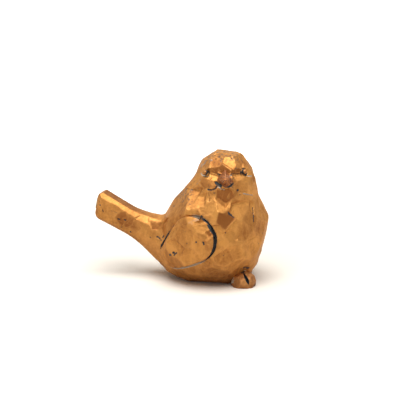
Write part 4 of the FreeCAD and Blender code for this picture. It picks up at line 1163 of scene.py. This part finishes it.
def wing(name, side, cuts, scratches):
    """A wing panel: rings inside the egg outline, spread from its middle to its rim, laid on
    the body's form swollen by the height that it stands proud; then down the edge and back
    underneath. A ring's reach is the furthest of the circles between front and rear."""
    def proud_form(points):
        """The flank, with no tail or head, swollen by the wing's height."""
        grown = join(over(points, cuts, WING_EDGE_SOFT), over(points, root_cuts, RUMP_EDGE), FILLET)
        grown[0] -= WING_PROUD
        return grown

    sideways = np.array([0.0, side, 0.0])
    spots = np.stack([WING_FRONT[0] + wing_rows[:, 0], np.zeros(len(wing_rows)),
                      WING_FRONT[1] + wing_rows[:, 1]], 1)
    carved = scooped(proud_form, hand_cuts(proud_form, spots, sideways, wing_rows[:, 2:]))
    columns = int(300 * DENSITY)
    around = np.linspace(0, 2 * math.pi, columns, endpoint=False)
    spokes = np.stack([np.cos(around), np.sin(around)], 1)
    # the rim: how far out along each spoke the furthest circle reaches
    blend = np.linspace(0, 1, 60)[:, None]
    hubs = WING_FRONT + (WING_REAR - WING_FRONT) * blend - WING_MIDDLE
    radii = WING_FRONT_RADIUS + (WING_REAR_RADIUS - WING_FRONT_RADIUS) * blend
    along = hubs @ spokes.T
    inside = along ** 2 - (hubs ** 2).sum(1)[:, None] + radii ** 2
    rim = np.where(inside > 0, along + np.sqrt(np.maximum(inside, 0)), 0).max(0)
    share = np.concatenate([np.linspace(0, 0.86, int(84 * DENSITY)),
                            np.linspace(0.86, 1, int(36 * DENSITY))[1:]])
    flat = WING_MIDDLE + share[:, None, None] * (rim[:, None] * spokes)
    starts = np.stack([flat[..., 0], np.zeros(flat.shape[:2]), flat[..., 1]], -1)
    ways = np.broadcast_to(sideways, starts.shape)
    grid = skin_grid(carved, starts, ways, 40.0)
    tone, rub_and_highlight = cut_marks(carved, grid)
    normals = round_normals(grid) * side
    # the gold is thin on the palest cuts
    thin_gold = 0.15 * held(1 - tone / 0.13)
    marks = {"wash_and_shade": np.zeros(tone.shape), "ground": thin_gold, "tone": tone, "rub_and_highlight": rub_and_highlight}
    angle = np.degrees(np.arctan2(spokes[:, 1], spokes[:, 0]))
    # the rim is rounded over by hand, and stained as its table says
    gap = -outside_wing(flat[..., 0], flat[..., 1])
    rounding = WING_ROUND * (1 + 0.35 * wander(grid, 8.0, 3.0))
    edge = np.clip(rounding - gap, 0, None) / rounding
    drop = rounding * (1 - np.sqrt(held(1 - edge ** 2)))
    marks["wash_and_shade"] = held(edge - 0.55) * 2 * np.interp(angle, WING_EDGE[0], WING_EDGE[3])
    # painted shade: the lower half of the rounded rim is made darker
    marks["tone"] = marks["tone"] + 0.6 * edge * (angle < -20)
    draw = np.random.default_rng(20 + side)
    spots = grid[draw.integers(2, len(share) - 3, WING_DRESSING), draw.integers(0, columns, WING_DRESSING)]
    grid = dress(grid, normals, marks, dressed_at(carved, spots, draw))
    grid = grid - normals * drop[..., None]
    grid = scratch(grid, normals, marks, scratches)
    under_start = grid[-1] - normals[-1] * (WING_PROUD + WING_UNDER)
    under = rings_in(under_start, under_start.mean(0), (1.0, 0.5, 0.0))
    full = np.vstack([grid, under])
    for label, values in marks.items():
        marks[label] = np.vstack([values, values[-1:], np.zeros((2, columns))])
    if side < 0:
        full = full[::-1]
        marks = {label: values[::-1] for label, values in marks.items()}
    piece = closed_skin(name, full, marks)
    piece.data.materials.append(gilt)
    return piece


right_cuts = knife_cuts(body_lumps, WING_CUTS, 3.0, BODY_HOLLOW)
wing_right = wing("wing_panel_right", -1, right_cuts, RIGHT_WING_SCRATCHES)
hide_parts("wing_right")
wing_left = wing("wing_panel_left", 1, knife_cuts(body_lumps, WING_CUTS, 5.0, BODY_HOLLOW), ())
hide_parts("wing_left")

# ---------------------------------------------------------------------------
# The feet.
# Two rounded lumps carved apart, each pegged up into the belly, with one
# leaf-shaped knife slit between the toes, stained black.
# ---------------------------------------------------------------------------
FOOT_COPPER = (0.56, 0.25, 0.075)
FOOT_BROWN = (0.27, 0.095, 0.03)
foot_paint = gilt_paint("foot_copper", FOOT_COPPER, FOOT_BROWN, rough=0.46, metal=0.4)
FOOT_HALF_SIZES = (8.5, 7.25, 7.0)
FOOT_CUTS = 34
FOOT_HOLLOW = 40.0
FOOT_EDGE = 0.25
SLIT_HALF = 0.95
SLIT_CLIMB = 2.9
SLIT_LEAN = 0.28
SLIT_DEPTH = 2.0
SLIT_MIDDLE = 5.6
SLIT_SNAP = 0.16
TOP_DARKENING, TOP_DARKENING_FROM = 0.75, 7.4


def foot(name, side, ahead, out, turn, slit_turn):
    """A foot: a knife-cut lump, flat where it stands, its surface found along rays from its
    middle; the slit is a leaf pushed in, widest half way up."""
    middle = np.array([ahead, side * out, 3.2])
    lumps = (lump((ahead, side * out, 2.0), FOOT_HALF_SIZES, side * turn),)
    cuts = knife_cuts(lumps, FOOT_CUTS, 5.0 + side, FOOT_HOLLOW)
    columns = int(220 * DENSITY)
    even = np.linspace(-math.pi, math.pi, columns, endpoint=False)
    turns = math.radians(side * slit_turn) + even - 0.55 * np.sin(even)
    rows = np.linspace(-math.pi / 2, math.pi / 2, int(120 * DENSITY))[:, None, None]
    spokes = spokes_at(turns)
    ways = np.cos(rows) * spokes + np.sin(rows) * UP
    starts = np.broadcast_to(middle, ways.shape)

    def lump_form(points):
        """The cut lump."""
        return over(points, cuts, FOOT_EDGE)

    grid = skin_grid(lump_form, starts, ways, np.minimum(to_table(starts, ways), 30.0))
    tone, rub_and_highlight = cut_marks(lump_form, grid)
    normals = round_normals(grid)
    # the slit: points near the leaf's edge are drawn onto it, and those inside are pushed in
    toes = heading(side * slit_turn, 0.0)
    outward = np.array([-toes[1], toes[0], 0.0])
    across = (grid - middle) @ outward * side
    facing = (grid - middle) @ toes > 0
    height = grid[..., 2]
    climb = (height - SLIT_MIDDLE) / SLIT_CLIMB
    leaf = SLIT_HALF * np.clip(1 - climb ** 2, 0, None) ** 0.7
    off = np.abs(across - SLIT_LEAN * (height - SLIT_MIDDLE))
    snapped = np.where((np.abs(off - leaf) < SLIT_SNAP) & (leaf > 0.2), leaf, off)
    slit = held((leaf - snapped) / np.maximum(0.55 * leaf, 0.05)) * facing * (leaf > 0.05)
    stain_and_shade = held((leaf + 0.12 - off) / 0.12) * facing
    # darker where it meets the belly, one bare spot on the outer side, and painted shade in the lowest 3 mm
    # by the table
    back = held((height - TOP_DARKENING_FROM) / 1.2) * TOP_DARKENING
    bare_spot = middle + toes * 0.8 + side * outward * 7.4 + 0.8 * UP
    from_spot = np.linalg.norm(grid - bare_spot, axis=2)
    bare = np.clip(1.4 - from_spot / 1.8 + 0.6 * wander(grid, 1.6, 2.0), 0, 0.8)
    marks = {"wash_and_shade": np.maximum(stain_and_shade, back * (0.6 + 0.5 * wander(grid, 5.0, 1.0))), "ground": bare,
             "tone": tone + 0.5 * held((3 - height) / 3), "rub_and_highlight": rub_and_highlight}
    grid = grid - normals * (SLIT_DEPTH * slit)[..., None]
    piece = closed_skin(name, grid, marks)
    piece.data.materials.append(foot_paint)
    return piece


foot_right = foot("foot_lump_right", -1, 21.0, 9.8, 50.0, 62.0)
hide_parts("foot_right")
foot_left = foot("foot_lump_left", 1, 14.0, 12.5, 30.0, 34.0)
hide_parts("foot_left")

# ---------------------------------------------------------------------------
# The tail.
# A squared bar, bored right through for the breath, tenoned into the rump and
# carved away there in one sweep with the body. The window and the ramp that
# split the breath are cut in its under side.
# ---------------------------------------------------------------------------
BORE = 5.0
BORE_BELOW = 1.0
BLOCK_FACE = 24.0
TURN_IN = 38.0
WINDOW_FROM, WINDOW_TO, WINDOW_HALF = 15.0, 21.0, 3.5
RAMP_FROM = 9.0
LIP_HEIGHT = -5.75
WINDOW_ROOF = 1.5
UNDER_FROM = 2.0
HALF_CELL = 0.3
HAIR = 0.01
TAIL_SCRATCHES = (
    (0.65, 0.40, 0.90, 0.0, ((-56.8, -6.3, 35.5), (-56.0, -6.3, 35.3))),
    (0.65, 0.40, 0.90, 0.0, ((-53.0, -6.2, 35.2), (-52.3, -6.2, 35.0))),
    (0.50, 0.30, 0.85, 0.0, ((-54.8, -6.6, 30.5),)),
    (0.50, 0.30, 0.85, 0.0, ((-49.2, -6.8, 28.2), (-48.9, -6.8, 27.6))),
    (0.50, 0.30, 0.85, 0.0, ((-35.7, -10.2, 26.3),)), (0.40, 0.25, 0.70, 0.0, ((-43.0, -8.0, 33.5),)),
    (0.45, 0.35, 0.85, 0.0, ((-66.6, -5.6, 41.2), (-66.0, -5.9, 39.6))),
    (0.35, 0.25, 0.75, 0.0, ((-67.8, -5.0, 46.0), (-67.6, -5.2, 43.6))),
    (0.40, 0.20, 0.50, 0.0, ((-61.0, -6.6, 40.5), (-57.5, -6.4, 39.5))),
)


# the outside: rays square to the bore up to the turn, then swinging round to the bore's rim
tail_and_rump = scooped(body_and_tail, bird_scoops)
columns = int(260 * DENSITY)
around = np.linspace(0, 2 * math.pi, columns, endpoint=False)
spokes = np.cos(around)[:, None] * TAIL_UP + np.sin(around)[:, None] * np.array([0, -1.0, 0])
bore_middle = TAIL_FOOT - TAIL_UP * BORE_BELOW
alongs = np.linspace(TAIL_JOINT, TURN_IN, int(150 * DENSITY))
side_starts = np.broadcast_to(bore_middle + alongs[:, None, None] * TAIL_AXIS, (len(alongs), columns, 3))
end_way = TAIL_AXIS * math.cos(TAIL_END_LEAN) - TAIL_UP * math.sin(TAIL_END_LEAN)
end_spot = TAIL_FOOT + end_way * (TAIL_LENGTH * math.cos(TAIL_END_LEAN))
rim = bore_middle + spokes * BORE
rim = rim + TAIL_AXIS * (((end_spot - rim) @ end_way) / (TAIL_AXIS @ end_way))[:, None]
turn_point = bore_middle + TAIL_AXIS * TURN_IN
rim_way = unit(rim - turn_point)
swing = np.linspace(0, 1, int(60 * DENSITY))[1:, None, None]
opening = np.arccos(np.clip((spokes * rim_way).sum(1), -1, 1))[:, None]
end_ways = (np.sin((1 - swing) * opening) * spokes + np.sin(swing * opening) * rim_way) / np.sin(opening)
starts = np.vstack([side_starts, np.broadcast_to(turn_point, end_ways.shape)])
ways = np.vstack([np.broadcast_to(spokes, side_starts.shape), end_ways])
grid = skin_grid(tail_and_rump, starts, ways, 45.0)
tone, rub_and_highlight = cut_marks(tail_and_rump, grid)
normals = -round_normals(grid)
marks = {"wash_and_shade": np.zeros(tone.shape), "ground": np.zeros(tone.shape), "tone": tone, "rub_and_highlight": rub_and_highlight}
grid = dress(grid, normals, marks, small_cuts)
grid = scratch(grid, normals, marks, TAIL_SCRATCHES)

# the window and the ramp, in places along the bar, below its middle line and across it
along = (grid - TAIL_FOOT) @ TAIL_AXIS
below = -(grid - TAIL_FOOT) @ TAIL_UP
across = grid[..., 1].copy()
under_side = below > UNDER_FROM


def drawn(values, line):
    """Values within half a cell of a line are set onto it."""
    return np.where(np.abs(values - line) < HALF_CELL, line, values)


new_across = drawn(drawn(across, WINDOW_HALF), -WINDOW_HALF)
new_along = drawn(drawn(drawn(along, WINDOW_TO), WINDOW_FROM), RAMP_FROM)
cut = under_side & (np.abs(new_across) < WINDOW_HALF - HAIR)
window = cut & (new_along > WINDOW_FROM + HAIR) & (new_along < WINDOW_TO - HAIR)
ramp = cut & (new_along >= RAMP_FROM) & (new_along <= WINDOW_FROM + HAIR)
ramp_share = held((new_along - RAMP_FROM) / (WINDOW_FROM - RAMP_FROM))
ramp_depth = below + (-LIP_HEIGHT - below) * ramp_share
new_below = np.where(window, WINDOW_ROOF, np.where(ramp, np.minimum(ramp_depth, below), below))
touched = under_side & (np.abs(across) < WINDOW_HALF + 0.5)
touched = touched & (along > RAMP_FROM - 0.5) & (along < WINDOW_TO + 0.5)
fresh = TAIL_FOOT + new_along[..., None] * TAIL_AXIS - new_below[..., None] * TAIL_UP
fresh[..., 1] = new_across
grid = np.where(touched[..., None], fresh, grid)
# painted shade: the window's roof is made dark; the ramp is given a darker tone
marks["wash_and_shade"] = np.where(window, 0.8, marks["wash_and_shade"])
marks["tone"] = np.where(ramp, 0.7, marks["tone"])

# the root is closed inside the rump, and the bore runs in as far as the windway block
root_middle = bore_middle + TAIL_AXIS * TAIL_JOINT
root_cap = rings_in(grid[0], root_middle, (0.0, 0.5, 0.97))
inner = np.linspace(0, BLOCK_FACE, int(30 * DENSITY))[1:, None, None]
bore_rows = rim - TAIL_AXIS * inner
bore_end = rings_in(bore_rows[-1], bore_rows[-1].mean(0), (0.5, 0.0))
for label, values in marks.items():
    marks[label] = np.vstack([np.zeros((3, columns)), values,
                              np.zeros((len(bore_rows) + 2, columns))])[::-1]
tail = closed_skin("tail", np.vstack([root_cap, grid, bore_rows, bore_end])[::-1], marks)
tail.data.materials.append(gilt)
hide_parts("tail_mouthpiece")

# ---------------------------------------------------------------------------
# The windway block, the dowels and the pegs.
# Bare limewood: the block closes the bore but for a slit for the breath, and
# the dowels and pegs hold the halves, the head, the wings and the feet.
# ---------------------------------------------------------------------------
def bare_limewood(name, pale, grain_colour, along):
    """Pale limewood with fine grain: rings about the piece's own length, broken by pores."""
    wood = bpy.data.materials.new(name)
    add, wire = nodes_of(wood)
    out = add("ShaderNodeOutputMaterial")
    skin = add("ShaderNodeBsdfPrincipled", {"Roughness": 0.62})
    place = add("ShaderNodeTexCoord")
    lay = add("ShaderNodeMapping", {"Rotation": along, "Scale": (1.0, 6.0, 6.0)})
    rings = noise(add, 160.0, 5.0, 0.55, 0.6)
    pores = noise(add, 900.0)
    band = ranged(add, 0.38, 0.68)
    colour = add("ShaderNodeMix", {6: pale + (1,), 7: grain_colour + (1,)}, data_type="RGBA")
    bump = add("ShaderNodeBump", {"Strength": 0.3, "Distance": 0.0002})
    wire((place, "Object", lay, "Vector"), (lay, "Vector", rings, "Vector"), (lay, "Vector", pores, "Vector"),
         (rings, "Fac", band, "Value"), (band, "Result", colour, "Factor"), (colour, 2, skin, "Base Color"),
         (pores, "Fac", bump, "Height"), (bump, "Normal", skin, "Normal"), (skin, 0, out, "Surface"))
    return wood


block_wood = bare_limewood("block_limewood", (0.62, 0.46, 0.28), (0.42, 0.27, 0.13), (0, TAIL_PITCH, 0))
peg_wood = bare_limewood("peg_limewood", (0.60, 0.44, 0.27), (0.40, 0.25, 0.12), (0, 0, math.pi / 2))
for node, wood in (("windway_block", block_wood), ("seam_dowels", peg_wood), ("neck_dowel", peg_wood),
                   ("wing_pegs", peg_wood), ("foot_pegs", peg_wood)):
    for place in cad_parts[node].material_slots:
        place.material = wood
